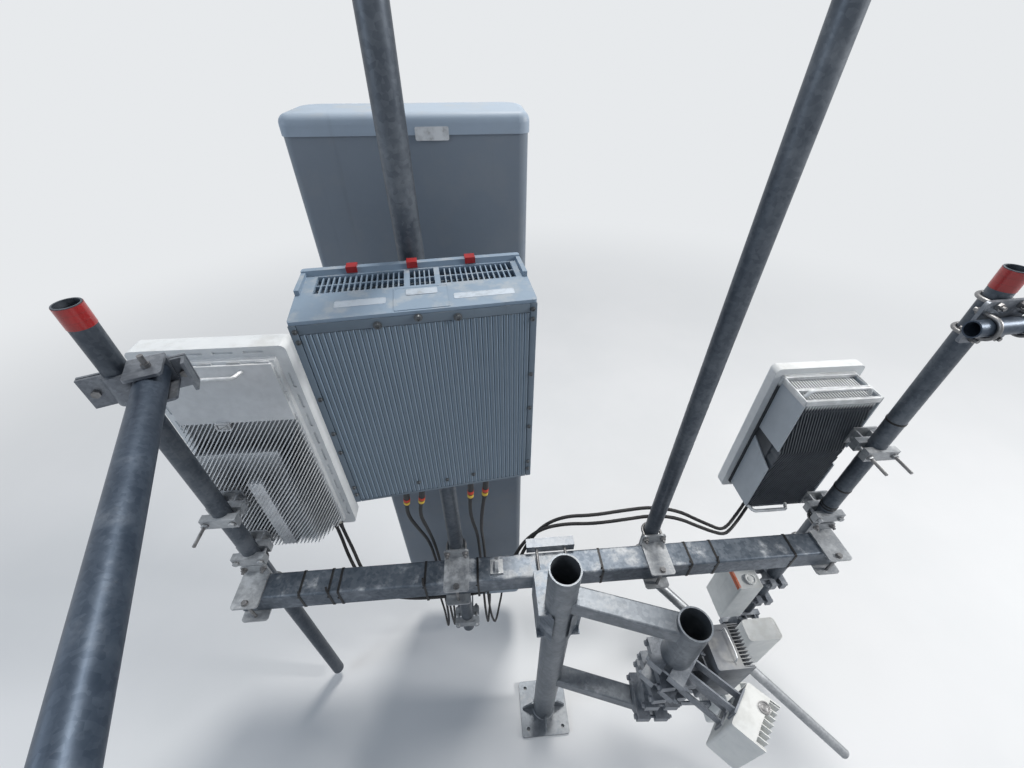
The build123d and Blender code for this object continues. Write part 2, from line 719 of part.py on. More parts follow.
def right_covers():
    """Plain covers on the two sides of the right heat sink, open between them at the fold."""
    inset = right_rim + seat
    wide, tall = right_width - 2 * inset, right_height - 2 * inset
    floor = flat_depth - right_radome + right_recess - seat
    fold = tall * right_fold
    covers = []
    for side in (-1, 1):
        near = side * (wide / 2 - 10 + seat)
        far = near + side * cover_thick
        for low, high, nose in ((14, fold - 34, fold - 90), (fold + 16, tall - 10, tall - 10)):
            outline = Polyline((0, low), (floor - 31, low), (floor - 31, high), (0, nose), close=True)
            plane = Plane(origin=(near, 0, 0), x_dir=(0, 1, 0), z_dir=(1, 0, 0))
            covers.append(extrude(plane * make_face(outline), far - near))
    return [Pos(right_x, flat_back_y, right_foot + inset) * cover for cover in covers]


def bar_handle(length, rise):
    """Grab handle along X that stands out to -Y from the origin."""
    path = FilletPolyline((-length / 2, 0, 0), (-length / 2 + 12, -rise, 0), (length / 2 - 12, -rise, 0),
                          (length / 2, 0, 0), radius=rise * 0.5)
    return sweep(Plane(origin=path @ 0, z_dir=path % 0) * Circle(handle_dia / 2), path=path)


def antenna_handles():
    """A curved handle on the left deck; on the right heat sink one that stands up and one below."""
    deck = flat_back_y + flat_depth - left_radome + left_recess - seat - 54
    left = Pos(left_x - 8, deck - seat, left_foot + left_height * 0.925) * bar_handle(205, 34)
    left &= slab(-3000, 3000, -3000, deck - seat, -10, 4000)
    top = right_foot + right_height - right_rim - seat - 10
    high = Pos(right_x - 4, flat_back_y + 34, top + seat) * Rot(-90, 0, 0) * bar_handle(246, 26)
    high &= slab(-3000, 3000, -3000, 3000, top + seat, 4000)
    low = Pos(right_x - 50, flat_back_y - seat, right_foot + 46) * bar_handle(170, 30)
    low &= slab(-3000, 3000, -3000, flat_back_y - seat, -10, 4000)
    return [left, high, low]


def small_radio(size, fins):
    """Small radio with its back at Y = 0 and its fins on the far side."""
    width, depth, height = size
    block = finned_block(width, depth, height, fins, depth * 0.3, 3.0, 8.0)
    return Rot(0, 0, 180) * Pos(0, -depth, 0) * block


def carried_radio(size, fins, post, dia, turn, reach, foot, heights):
    """A small radio on an arm from a post; turn 0 carries it towards +Y. Returns it and its clamps."""
    place = Pos(post[0], post[1], foot) * Rot(0, 0, turn)
    clamp = pipe_clamp(dia, reach)
    clamps = [piece for height in heights for piece in placed(clamp, place * Pos(0, 0, height - foot))]
    return place * Pos(0, reach, 0) * small_radio(size, fins), clamps


def cable(points, dia):
    """Round cable whose straight runs meet in arcs as large as the runs allow."""
    radii = []
    for a, b, c in zip(points, points[1:], points[2:]):
        back, ahead = Vector(*b) - Vector(*a), Vector(*c) - Vector(*b)
        half = math.radians(back.get_angle(ahead)) / 2
        radii.append(0.45 * min(back.length, ahead.length) / math.tan(half))
    path = FilletPolyline(*points, radius=radii)
    print("cable", round(path.length), "mm, tightest bend", round(min(radii)), "mm")
    return sweep(Plane(origin=points[0], z_dir=path % 0) * Circle(dia / 2), path=path)


def radio_jumpers():
    """Leads from the radio's connectors down behind the tube and up into the panel's ports."""
    inner = [(82, 140, 1775), (84, 190, 1620), (90, 252, 1460), (92, 296, 1300), (92, 318, 1130),
             (92, 326, 955), (92, 328, 780), (92, 332, 610), (94, 342, 460), (96, 364, 350),
             (98, 380, 266), (102, 428, 218.5), (110, 495, 218.5), (117, 543, 266), (117, 543, 360.4)]
    outer = [(124, 144, 1770), (114, 190, 1610), (110, 250, 1450), (112, 302, 1295), (112, 330, 1125),
             (112, 344, 950), (112, 350, 775), (113, 354, 605), (118, 360, 460), (126, 368, 350),
             (138, 377, 262), (152, 426, 210), (170, 495, 210), (190, 543, 262), (195, 543, 360.4)]
    starts = {(-1, 0): (46.8, 115.0), (1, 0): (96.3, 131.3), (-1, 1): (94.5, 109.6), (1, 1): (144.0, 136.8)}
    leads = []
    for (side, which), (x, y) in starts.items():
        route = [(x, y, 2027.4), (x, y, 1920)] + (inner, outer)[which]
        leads.append(cable([(pipe_centre_x + side * a, b, c) for a, b, c in route], jumper_dia))
    return leads


def feeders():
    """Leads from the left antenna along under the tube, then slack behind it to the right antenna."""
    back = [(-943, 456.5, 1277.7), (-943, 456.5, 1170), (-925, 415, 1090), (-875, 338, 1050),
            (-790, 250, 1070), (-690, 190, 1130), (-575, 163, 1172), (-450, 160, 1178), (-330, 160, 1178),
            (-225, 192, 1170), (-158, 262, 1188), (-105, 314, 1245), (-30, 328, 1318), (75, 328, 1345),
            (200, 326, 1332), (330, 326, 1345), (460, 328, 1362), (580, 322, 1335), (685, 308, 1275),
            (775, 304, 1222), (850, 328, 1158), (918, 374, 1112), (982, 422, 1122), (1026, 456.5, 1190),
            (1026, 456.5, 1332.7)]
    front = [(-920, 456.5, 1277.7), (-920, 456.5, 1180), (-895, 420, 1105), (-850, 340, 1075),
             (-775, 245, 1090), (-680, 175, 1135), (-570, 140, 1172), (-450, 136, 1178), (-330, 136, 1178),
             (-222, 160, 1172), (-145, 235, 1178), (-90, 310, 1232), (-20, 348, 1308), (75, 350, 1368),
             (200, 348, 1362), (330, 348, 1382), (460, 350, 1392), (590, 346, 1350), (680, 336, 1290),
             (760, 330, 1240), (828, 340, 1182), (894, 377, 1138), (956, 424, 1148), (1000, 456.5, 1212),
             (1000, 456.5, 1332.7)]
    return [cable(back, feeder_dia), cable(front, feeder_dia)]


def feeder_glands():
    """Glands under the two flat antennas' heat sinks, one for each end of each feeder."""
    glands = []
    for places, top in (((-943, -920), left_foot + left_rim), ((1026, 1000), right_foot + right_rim + 16)):
        for x in places:
            glands.append(rod((x, gland_y, top - gland_length), (x, gland_y, top), feeder_dia + 1))
    return glands


def tie_spots():
    """Places along the tube where a cable tie goes round it and what runs under it."""
    shares = (-0.81, -0.72, -0.69, -0.42, -0.25, 0.16, 0.46, 0.55, 0.82)
    return [share * tube_length / 2 for share in shares]


def cable_ties():
    """Flat bands round the tube, looser where the feeders run under it."""
    bands = []
    for x in tie_spots():
        drop = tie_slack if pipe_centre_x - 200 < x < pipe_centre_x + 200 else 0
        outer = Rectangle(tube_side + 2 * (seat + tie_gauge), tube_side + 2 * (seat + tie_gauge) + drop)
        inner = Rectangle(tube_side + 2 * seat, tube_side + 2 * seat + drop)
        ring = fillet(outer.vertices(), 9) - fillet(inner.vertices(), 8)
        plane = Plane(origin=(x, tube_setback, tube_mid - drop / 2), x_dir=(0, 1, 0), z_dir=(1, 0, 0))
        bands.append(extrude(plane * ring, tie_width))
    return bands


def cable_hanger():
    """Small hanger block on the tube, with an eye for the leads."""
    base = slab(-26, 26, -30, 30, 0, 8)
    ear = Pos(0, 0, 30) * Rot(0, 90, 0) * Cylinder(24, 14)
    ear += slab(-7, 7, -24, 24, 7, 30)
    ear -= Pos(0, 0, 32) * Rot(0, 90, 0) * Cylinder(11, 40)
    return Pos(-228, tube_setback, tube_top + seat) * (base + ear)


def radio_ports():
    """Connectors in a row under the centre radio."""
    port = Pos(0, 0, -6) * Cylinder(16, 12) + Pos(0, 0, -22) * Cylinder(11, 24)
    row = radio_spot() * Pos(0, radio_depth * 0.6, -seat)
    return [row * spot * port for spot in GridLocations(48, 1, 8, 1).locations]


def save_structure():
    save("face_tube", face_tube())
    save("main_post", main_post())
    save("base_flange", base_flange())
    save("side_post", side_post())
    save("post_arms", post_arm(arm_low_z), post_arm(arm_high_z))
    save("face_bracket", face_bracket())
    save("face_bracket_bars", *back_bars())
    save("face_bracket_studs", *back_bar_studs())
    foot_and_head = {
        "left": (pipe_left_x, side_pipe_foot, side_pipe_head),
        "centre": (pipe_centre_x, centre_pipe_foot, centre_pipe_foot + centre_pipe_length),
        "bare": (pipe_bare_x, bare_pipe_foot, bare_pipe_foot + bare_pipe_length),
        "right": (pipe_right_x, side_pipe_foot, side_pipe_head),
    }
    for name, (x, foot, head) in foot_and_head.items():
        save(f"mount_pipe_{name}", pipe((x, pipe_y, foot), (x, pipe_y, head), pipe_dia, pipe_wall))
        save(f"crossover_saddle_{name}", crossover_saddle(x))
        save(f"crossover_bolts_{name}", *crossover_bolts(x))
    save("red_tape_bands", tape(pipe_left_x, side_pipe_head), tape(pipe_right_x, side_pipe_head))


def save_ties():
    left = Pos(pipe_left_x, pipe_y, tie_z) * Rot(0, 0, tie_left_turn)
    right = Pos(pipe_right_x, pipe_y, tie_z + tie_right_rise) * Rot(0, 0, 180 + tie_right_turn)
    back_half = mirror(tie_clamp_half(tie_clamp_reach()), about=Plane.YZ)
    save("tie_pipe_left", left * left_tie_pipe())
    save("tie_pipe_right", right * right_tie_pipe())
    save("tie_plates", left * tie_fork(), left * back_half, right * tie_plate())
    save("tie_u_bolts", *placed(left_tie_bolts(), left), *placed(tie_bolts(), right))
    save("stiff_arm", stiff_arm())
    save("stiff_arm_clamp", stiff_clamp())


def radio_clamp_heights():
    return (radio_foot + radio_clamp_inset, radio_foot + radio_height - radio_clamp_inset)


def save_equipment():
    save("panel_antenna_body", panel_antenna())
    save("panel_antenna_caps", panel_end_cap(True), panel_end_cap(False))
    save("panel_antenna_ports", *panel_ports())
    clamp = pipe_clamp(pipe_dia, panel_back_y - pipe_y)
    save("panel_antenna_brackets",
         *[piece for z in (panel_foot + panel_clamp_rise, panel_foot + panel_height - panel_clamp_drop)
           for piece in placed(clamp, Pos(pipe_centre_x, pipe_y, z))])
    save("centre_radio_body", centre_radio())
    save("centre_radio_guard", radio_guard())
    save("centre_radio_tabs", *guard_tabs())
    save("centre_radio_ports", *radio_ports())
    clamp = pipe_clamp(pipe_dia, radio_reach)
    save("centre_radio_brackets",
         *[piece for z in radio_clamp_heights()
           for piece in placed(clamp, Pos(pipe_centre_x, pipe_y, z) * Rot(0, 0, 180 + radio_turn))])
    save("left_antenna_radome", left_antenna())
    save("left_antenna_heat_sink", left_heat_sink())
    save("right_antenna_radome", flat_antenna(right_x, right_foot, right_width, right_height, right_radome,
                                              right_rim, right_recess))
    save("right_antenna_heat_sink", right_heat_sink())
    save("right_antenna_covers", *right_covers())
    save("antenna_handles", *antenna_handles())
    clamp = pipe_clamp(pipe_dia, flat_back_y - pipe_y)
    for name, x, upper in (("left", pipe_left_x, left_foot + left_clamp_rise),
                           ("right", pipe_right_x, right_foot + right_clamp_rise)):
        save(f"{name}_antenna_brackets", *[piece for z in (lowest_clamp, upper)
                                           for piece in placed(clamp, Pos(x, pipe_y, z))])


def save_cables():
    save("radio_jumpers", *radio_jumpers())
    save("feeders", *feeders())
    save("feeder_glands", *feeder_glands())
    save("cable_ties", *cable_ties())
    save("cable_hanger", cable_hanger())


def save_small_radios():
    right = (pipe_right_x, pipe_y)
    side = (side_post_x, side_post_y)
    rows = {
        "grey_radio": (grey_radio, 9, right, pipe_dia, 90, 118, 560, (630, 820)),
        "white_radio": (white_radio, 11, right, pipe_dia, 180, 78, 130, (200, 420)),
        "finned_radio": (finned_radio, 12, side, post_dia, -90, 122, 900, (948, 1098)),
        "plain_radio": (plain_radio, 8, side, post_dia, -94, 262, 580, (665, 840)),
        "cover_radio": (plain_radio, 8, side, post_dia, -136, 230, 900, (1023, 1173)),
    }
    clamps = []
    for name, row in rows.items():
        radio, own = carried_radio(*row)
        save(name, radio)
        clamps += own
    save("small_radio_clamps", *clamps)


os.makedirs("parts", exist_ok=True)
save_structure()
save_ties()
save_equipment()
save_small_radios()
save_cables()
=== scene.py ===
"""Looks of the head mount of a cell tower: finishes, fasteners, leads, camera and light."""
import math

import bmesh
import bpy
from mathutils import Matrix, Vector


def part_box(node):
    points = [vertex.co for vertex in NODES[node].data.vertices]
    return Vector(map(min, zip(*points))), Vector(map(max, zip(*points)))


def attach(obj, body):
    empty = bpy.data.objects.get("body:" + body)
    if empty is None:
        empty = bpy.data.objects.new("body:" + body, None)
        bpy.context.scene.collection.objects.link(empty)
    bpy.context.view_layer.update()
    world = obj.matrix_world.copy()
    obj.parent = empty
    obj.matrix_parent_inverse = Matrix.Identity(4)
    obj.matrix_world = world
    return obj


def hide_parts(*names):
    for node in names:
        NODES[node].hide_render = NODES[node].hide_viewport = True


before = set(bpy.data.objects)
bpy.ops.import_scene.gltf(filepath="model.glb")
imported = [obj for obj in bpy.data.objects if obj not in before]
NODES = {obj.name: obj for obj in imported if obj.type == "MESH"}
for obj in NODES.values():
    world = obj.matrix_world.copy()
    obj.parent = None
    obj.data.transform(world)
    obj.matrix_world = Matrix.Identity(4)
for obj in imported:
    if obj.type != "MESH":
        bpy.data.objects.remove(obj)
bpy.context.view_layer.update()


class Term:
    """One output of a node, with arithmetic that adds the Math nodes."""

    def __init__(self, finish, socket):
        self.finish, self.socket = finish, socket

    def maths(self, operation, *values):
        """Result of one Math node."""
        sockets = dict(enumerate(values))
        return self.finish.node("ShaderNodeMath", {"operation": operation}, sockets)

    def __add__(self, other):
        return self.maths("ADD", self, other)

    def __sub__(self, other):
        return self.maths("SUBTRACT", self, other)

    def __mul__(self, other):
        return self.maths("MULTIPLY", self, other)

    def __rsub__(self, other):
        return self.maths("SUBTRACT", other, self)

    __radd__, __rmul__ = __add__, __mul__

    def above(self, low, high):
        """0 below low, 1 above high, smooth between."""
        return self.finish.node("ShaderNodeMapRange", {"interpolation_type": "SMOOTHSTEP"},
                                {"Value": self, "From Min": low, "From Max": high})

    def least(self, other):
        return self.maths("MINIMUM", self, other)


class Finish:
    """A material that is built up from noises, masks and mixes."""

    def __init__(self, name, **constants):
        self.material = bpy.data.materials.new(name)
        self.material.use_nodes = True
        self.tree = self.material.node_tree
        self.shader = self.tree.nodes["Principled BSDF"]
        for socket, value in constants.items():
            self.shader.inputs[socket.replace("_", " ")].default_value = value
        self.place = self.node("ShaderNodeTexCoord", {}, {}, "Object")

    def node(self, kind, settings, sockets, output=0):
        """Adds a node, makes its settings first and then links or fills its sockets."""
        node = self.tree.nodes.new(kind)
        for key, value in settings.items():
            setattr(node, key, value)
        for key, value in sockets.items():
            if isinstance(value, Term):
                self.tree.links.new(value.socket, node.inputs[key])
            else:
                node.inputs[key].default_value = value
        return Term(self, node.outputs[output])

    def stretched(self, x, y, z):
        """Object coordinates scaled along each axis: a small scale draws a pattern out."""
        return self.node("ShaderNodeMapping", {}, {"Vector": self.place, "Scale": (x, y, z)})

    def noise(self, scale, detail, rough=0.55, place=None):
        return self.node("ShaderNodeTexNoise", {}, {"Vector": place or self.place, "Scale": scale,
                                                    "Detail": detail, "Roughness": rough})

    def cells(self, scale, output="Distance"):
        return self.node("ShaderNodeTexVoronoi", {}, {"Vector": self.place, "Scale": scale}, output)

    def axis(self, name):
        return self.node("ShaderNodeSeparateXYZ", {}, {0: self.place}, name)

    def facing(self, name):
        """Component of the surface's normal along X, Y or Z."""
        normal = self.node("ShaderNodeNewGeometry", {}, {}, "Normal")
        return self.node("ShaderNodeSeparateXYZ", {}, {0: normal}, name)

    def mix(self, mask, first, second):
        """Colour that goes from the first to the second as the mask goes from 0 to 1."""
        paint = [(*c, 1) if isinstance(c, tuple) else c for c in (first, second)]
        sockets = {0: mask, 6: paint[0], 7: paint[1]}
        return self.node("ShaderNodeMix", {"data_type": "RGBA"}, sockets, 2)

    def relief(self, height, strength, distance):
        sockets = {"Height": height, "Strength": strength, "Distance": distance}
        return self.node("ShaderNodeBump", {}, sockets)

    def wear(self, colour, rough, height=None, strength=0.3, distance=0.001, metallic=None):
        """Wires what varies to the shader and returns the material."""
        links = {"Base Color": colour, "Roughness": rough, "Metallic": metallic}
        if height is not None:
            links["Normal"] = self.relief(height, strength, distance)
        for key, value in links.items():
            if isinstance(value, Term):
                self.tree.links.new(value.socket, self.shader.inputs[key])
            elif value is not None:
                self.shader.inputs[key].default_value = value
        return self.material


# Finishes

# The zinc's white stands for white rust, and on faces that look up also for painted sunlight.
BLOOM_AND_TOP_LIGHT_WHITE, DARK_SPECK, RUST = (0.60, 0.62, 0.64), (0.11, 0.11, 0.115), (0.19, 0.085, 0.04)
PLASTIC_DUST, PAINT_DUST, FIN_DUST = (0.44, 0.43, 0.40), (0.50, 0.49, 0.46), (0.42, 0.41, 0.38)
# The fins' crown white is a painted highlight on their sunlit tops.
RUBBER_DUST, FIN_CROWN_HIGHLIGHT, SCUFF = (0.13, 0.125, 0.115), (0.68, 0.70, 0.71), (0.36, 0.36, 0.36)
RAIN = (1, 1, 0.05)


def toned(colour, share):
    """The colour made darker or lighter by a share."""
    return tuple(c * share for c in colour)


def galvanised(name, dark, light, spangle, bloom_and_top_light, stain=0.25):
    """Hot-dip zinc: fine spangle, soft clouds, white rust where rain stands, painted sunlight that
    whitens faces looking up, and rain streaks.
    """
    f = Finish(name, Specular_IOR_Level=0.5)
    crystal = f.node("ShaderNodeSeparateColor", {}, {0: f.cells(spangle, output="Color")}, 0)
    cloud = f.noise(2.6, 4)
    mottle = f.noise(13, 6, 0.62)
    grit = f.noise(170, 3)
    streak = f.noise(46, 3, 0.6, f.stretched(*RAIN))
    tone = crystal * 0.14 + mottle * 0.46 + cloud * 0.4
    zinc = f.mix(tone.above(0.30, 0.72), dark, light)
    # Faces that look up get more white: partly white rust, partly painted sunlight on the tops.
    top = f.facing("Z").above(0.35, 0.9)
    patches = (mottle * 0.55 + cloud * 0.45).above(0.50, 0.66)
    white = (patches * (0.30 + top * 0.9) * bloom_and_top_light).least(1.0)
    paled = f.mix(white, zinc, BLOOM_AND_TOP_LIGHT_WHITE)
    stained = f.mix(streak.above(0.60, 0.74) * stain, paled, toned(dark, 0.5))
    speckled = f.mix(grit.above(0.68, 0.78) * 0.3, stained, DARK_SPECK)
    rough = 0.36 + mottle * 0.16 + white * 0.25
    return f.wear(speckled, rough, mottle * 0.35 + grit * 0.3, 0.14, 0.0006, 0.62 - white * 0.45)


def plated(name, colour, rust=0.25):
    """Zinc-plated fasteners, dulled, with a little rust in the corners."""
    f = Finish(name)
    dull = f.noise(45, 5)
    speck = f.noise(140, 4, 0.7)
    spots = (speck * 0.5 + dull * 0.5).above(0.60, 0.70) * rust
    paint = f.mix(dull.above(0.35, 0.7), colour, toned(colour, 0.62))
    rusted = f.mix(spots, paint, RUST)
    return f.wear(rusted, 0.34 + dull * 0.22 + spots * 0.3, speck, 0.15, 0.0004, 0.85 - spots * 0.7)


def moulded(name, colour, shade, rough=0.42):
    """Weathered glass-fibre or plastic housing: dust from above, faint rain marks, fine grain."""
    f = Finish(name, Coat_Roughness=0.35, Coat_Weight=0.08)
    cloud = f.noise(2.2, 5)
    patch = f.noise(11, 5, 0.62)
    run = f.noise(28, 4, 0.6, f.stretched(1, 1, 0.045))
    grit = f.noise(260, 3, 0.7)
    base = f.mix((cloud * 0.6 + patch * 0.4).above(0.38, 0.66), colour, shade)
    marked = f.mix(run.above(0.60, 0.74) * 0.14, base, toned(shade, 0.5))
    top = f.facing("Z").above(0.55, 0.95)
    dusted = f.mix((top * 0.8 + 0.2) * patch.above(0.46, 0.68) * 0.35, marked, PLASTIC_DUST)
    speckled = f.mix(grit.above(0.68, 0.76) * 0.2, dusted, toned(shade, 0.4))
    height = grit * 0.6 + patch * 0.4
    return f.wear(speckled, rough + patch * 0.14 + top * 0.08, height, 0.1, 0.0005)


def powder_coat(name, colour, shade, rough=0.5, chamfer_highlight=0.0):
    """Orange-peel paint on a cast housing, chalked by weather, with a painted highlight that makes
    its slanted edges pale.
    """
    f = Finish(name)
    cloud = f.noise(4, 5)
    patch = f.noise(24, 5, 0.6)
    peel = f.noise(420, 2)
    run = f.noise(60, 3, 0.6, f.stretched(1, 1, 0.07))
    base = f.mix((cloud * 0.6 + patch * 0.4).above(0.36, 0.68), colour, shade)
    streaked = f.mix(run.above(0.60, 0.76) * 0.16, base, toned(shade, 0.55))
    top = f.facing("Z").above(0.5, 0.95)
    dusted = f.mix(top * patch.above(0.44, 0.66) * 0.3, streaked, PAINT_DUST)
    # Painted highlight: faces slanted to the side, such as the ribs' chamfers, are painted paler.
    if chamfer_highlight:
        across = f.facing("X")
        side = across.maths("ABSOLUTE", across)
        slant = side.above(0.3, 0.5) * (1 - side.above(0.85, 0.95))
        dusted = f.mix(slant * chamfer_highlight, dusted, toned(colour, 2.2))
    return f.wear(dusted, rough + patch * 0.14, peel * 0.7 + patch * 0.3, 0.14, 0.0006, 0.1)


def cast_fins(name, light, deep, back, front, crown=None):
    """Cast aluminium fins: bright tips, painted shade that darkens them towards their floor, dust,
    and a painted highlight that makes them white above the crown.
    """
    f = Finish(name)
    # Painted shade: the deeper a point lies between the fins, the nearer its colour comes to the
    # deep tone; a noise also used for dust breaks it up.
    along = f.axis("Y").above(front, back)
    patch = f.noise(30, 5, 0.6)
    dust_and_shade_noise = f.noise(9, 4)
    grit = f.noise(320, 3, 0.7)
    metal = f.mix(patch.above(0.35, 0.7), light, toned(light, 0.82))
    shaded = f.mix((along * (0.5 + dust_and_shade_noise * 0.5)).least(1.0), metal, deep)
    # Painted highlight: above the crown the fins are painted white, as tops in the sun.
    if crown:
        shaded = f.mix(f.axis("Z").above(*crown), shaded, FIN_CROWN_HIGHLIGHT)
    top = f.facing("Z").above(0.4, 0.9)
    dusted = f.mix(top * dust_and_shade_noise.above(0.44, 0.64) * 0.35, shaded, FIN_DUST)
    return f.wear(dusted, 0.44 + patch * 0.2 + along * 0.15, grit, 0.18, 0.0005, 0.2 - along * 0.15)


def tape(name, colour, z_foot, pitch):
    """Glossy wrapped tape: turns that overlap, small creases and lifted edges."""
    f = Finish(name, Coat_Weight=0.5, Coat_Roughness=0.18, Specular_IOR_Level=0.5)
    turns = (f.axis("Z") - z_foot) * (1 / pitch)
    step = turns.maths("FRACT", turns)
    crease = f.noise(90, 5, 0.6, f.stretched(1, 1, 0.25))
    fade = f.noise(18, 4)
    edge = step.above(0.90, 0.97)
    base = f.mix(fade.above(0.35, 0.7), colour, toned(colour, 0.72))
    worn = f.mix(edge * 0.45, base, toned(colour, 0.35))
    return f.wear(worn, 0.28 + crease * 0.22, step * 0.6 + crease * 0.5, 0.4, 0.0012)


def rubber(name, colour=(0.018, 0.018, 0.02), rough=0.5, dust=0.4):
    """Matt jacket with dust and the faint draw marks of its extrusion."""
    f = Finish(name, Specular_IOR_Level=0.35)
    film = f.noise(26, 5, 0.6)
    grain = f.noise(380, 2)
    top = f.facing("Z").above(0.1, 0.9)
    pale = tuple(c * 0.8 + 0.05 for c in colour)
    grey = f.mix(film.above(0.46, 0.72) * (0.15 + top * 0.35) * dust, colour, RUBBER_DUST)
    marked = f.mix(grain.above(0.62, 0.72) * 0.3, grey, pale)
    return f.wear(marked, rough + film * 0.2, grain, 0.12, 0.0004)


def foil(name, colour):
    """Blank foil plate: satin print ground, worn patches and dulled edges."""
    f = Finish(name, Specular_IOR_Level=0.5)
    rub = f.noise(60, 5, 0.6)
    cloud = f.noise(15, 3)
    grain = f.noise(500, 2)
    worn = f.mix((rub * 0.6 + cloud * 0.4).above(0.45, 0.68), colour, toned(colour, 0.72))
    scuffed = f.mix(rub.above(0.62, 0.70) * 0.5, worn, SCUFF)
    return f.wear(scuffed, 0.34 + rub * 0.3, grain, 0.08, 0.0003, 0.2)


def cast_metal(name, colour):
    """Sand-cast and tumbled metal: pitted skin, worn bright in patches."""
    f = Finish(name)
    pit = f.cells(420)
    rub = f.noise(34, 5, 0.6)
    cloud = f.noise(8, 3)
    skin = f.mix((rub * 0.5 + cloud * 0.5).above(0.40, 0.65), toned(colour, 0.7), colour)
    pitted = f.mix((1 - pit.above(0.05, 0.25)) * 0.4, skin, toned(colour, 0.45))
    return f.wear(pitted, 0.38 + rub * 0.24, pit * 0.5 + rub * 0.4, 0.2, 0.0005, 0.55)


# Stage

SKY_TONE, SKY_LIGHT, SKY_STRENGTH = (0.80, 0.82, 0.84), (0.80, 0.88, 1.0), 0.30
SENSOR_MM, LENS_MM, NEAREST = 36.0, 14.94, 0.02
EYE, EYE_TILT, EYE_TURN = (-0.2346, -0.6844, 2.980), 50.5, -4.6
FLOOR_SIZE, FLOOR_HEIGHT, FLOOR_FADE = 120, -0.004, (2.2, 8.5)
FLOOR_TONES = (0.70, 0.715, 0.73), (0.74, 0.75, 0.765)
LAMPS = {
    "key": {"spot": (0.6, 2.6, 7.6), "aim": (0, 0.2, 1.6), "size": 1.3, "power": 285,
            "tint": (1.0, 0.97, 0.92)},
    "fill": {"spot": (-5.2, -1.6, 4.4), "aim": (0, 0.2, 1.5), "size": 3.0, "power": 80,
             "tint": (0.80, 0.90, 1.0)},
    "side": {"spot": (7.4, -0.9, 5.6), "aim": (-0.4, 0.3, 1.7), "size": 1.8, "power": 500,
             "tint": (1.0, 0.98, 0.95)},
}


def added(name, data):
    """New object in the scene."""
    item = bpy.data.objects.new(name, data)
    bpy.context.scene.collection.objects.link(item)
    return item


def camera():
    """The photo's eye: in front of the face tube and 1.7 m above it, looking down and back."""
    lens = bpy.data.cameras.new("camera")
    eye = added("camera", lens)
    lens.sensor_width, lens.lens, lens.clip_start = SENSOR_MM, LENS_MM, NEAREST
    eye.location = EYE
    eye.rotation_euler = (math.radians(EYE_TILT), 0, math.radians(EYE_TURN))
    bpy.context.scene.camera = eye


def seen_rays(tree):
    """1 on the rays that show the background: seen straight on, in a gloss, or through glass."""
    ray = tree.nodes.new("ShaderNodeLightPath")
    seen = ray.outputs["Is Camera Ray"]
    for name in ("Is Glossy Ray", "Is Transmission Ray"):
        either = tree.nodes.new("ShaderNodeMath")
        either.operation = "MAXIMUM"
        tree.links.new(seen, either.inputs[0])
        tree.links.new(ray.outputs[name], either.inputs[1])
        seen = either.outputs[0]
    return seen


def floor():
    """A pale sheet that keeps the mount's shadow and runs out into the tone of the sky."""
    bpy.ops.object.select_all(action="DESELECT")
    bpy.ops.mesh.primitive_plane_add(size=FLOOR_SIZE, location=(0, 0, FLOOR_HEIGHT))
    ground = bpy.context.object
    ground.name = "floor"
    f = Finish("floor", Specular_IOR_Level=0.1)
    cloth = f.noise(0.8, 4)
    reach = f.node("ShaderNodeVectorMath", {"operation": "LENGTH"}, {0: f.place}, 1)
    f.wear(f.mix(cloth.above(0.3, 0.7), *FLOOR_TONES), 0.9)
    glow = f.node("ShaderNodeEmission", {}, {0: (*SKY_TONE, 1), 1: 1.0})
    fade = reach.above(*FLOOR_FADE) * Term(f, seen_rays(f.tree))
    blend = f.node("ShaderNodeMixShader", {}, {0: fade, 1: Term(f, f.shader.outputs[0]), 2: glow})
    f.tree.links.new(blend.socket, f.tree.nodes["Material Output"].inputs[0])
    ground.data.materials.append(f.material)


def lamp(name, spot, aim, size, power, tint):
    """Round area lamp at the spot, turned to its aim."""
    light = bpy.data.lights.new(name, "AREA")
    light.shape, light.size, light.energy, light.color = "DISK", size, power, tint
    holder = added(name, light)
    holder.location = spot
    holder.rotation_euler = (Vector(aim) - Vector(spot)).to_track_quat("-Z", "Y").to_euler()


def studio():
    """Soft sky, a key from above and behind, a cool fill from the left and a strong right lamp."""
    world = bpy.data.worlds.new("studio")
    world.use_nodes = True
    tree = world.node_tree
    light = tree.nodes["Background"]
    light.inputs[0].default_value = (*SKY_LIGHT, 1)
    light.inputs[1].default_value = SKY_STRENGTH
    seen = tree.nodes.new("ShaderNodeBackground")
    seen.inputs[0].default_value = (*SKY_TONE, 1)
    blend = tree.nodes.new("ShaderNodeMixShader")
    tree.links.new(seen_rays(tree), blend.inputs[0])
    tree.links.new(light.outputs[0], blend.inputs[1])
    tree.links.new(seen.outputs[0], blend.inputs[2])
    tree.links.new(blend.outputs[0], tree.nodes["World Output"].inputs[0])
    bpy.context.scene.world = world
    for name, facts in LAMPS.items():
        lamp(name, **facts)
    bpy.context.scene.view_settings.view_transform = "Standard"


# Tools

def start(add, **given):
    """Adds a primitive with nothing else selected, its place and size put into its mesh."""
    bpy.ops.object.select_all(action="DESELECT")
    add(**given)
    bpy.ops.object.transform_apply(location=True, rotation=True, scale=True)
    return bpy.context.object


def block(middle, size):
    """Box of a size round its middle."""
    return start(bpy.ops.mesh.primitive_cube_add, size=1, location=middle, scale=size)


def drum(radius, height, sides, foot=0.0):
    """Cylinder that stands on its foot's height."""
    middle = (0, 0, foot + height / 2)
    return start(bpy.ops.mesh.primitive_cylinder_add, vertices=sides, radius=radius, depth=height,
                 location=middle)


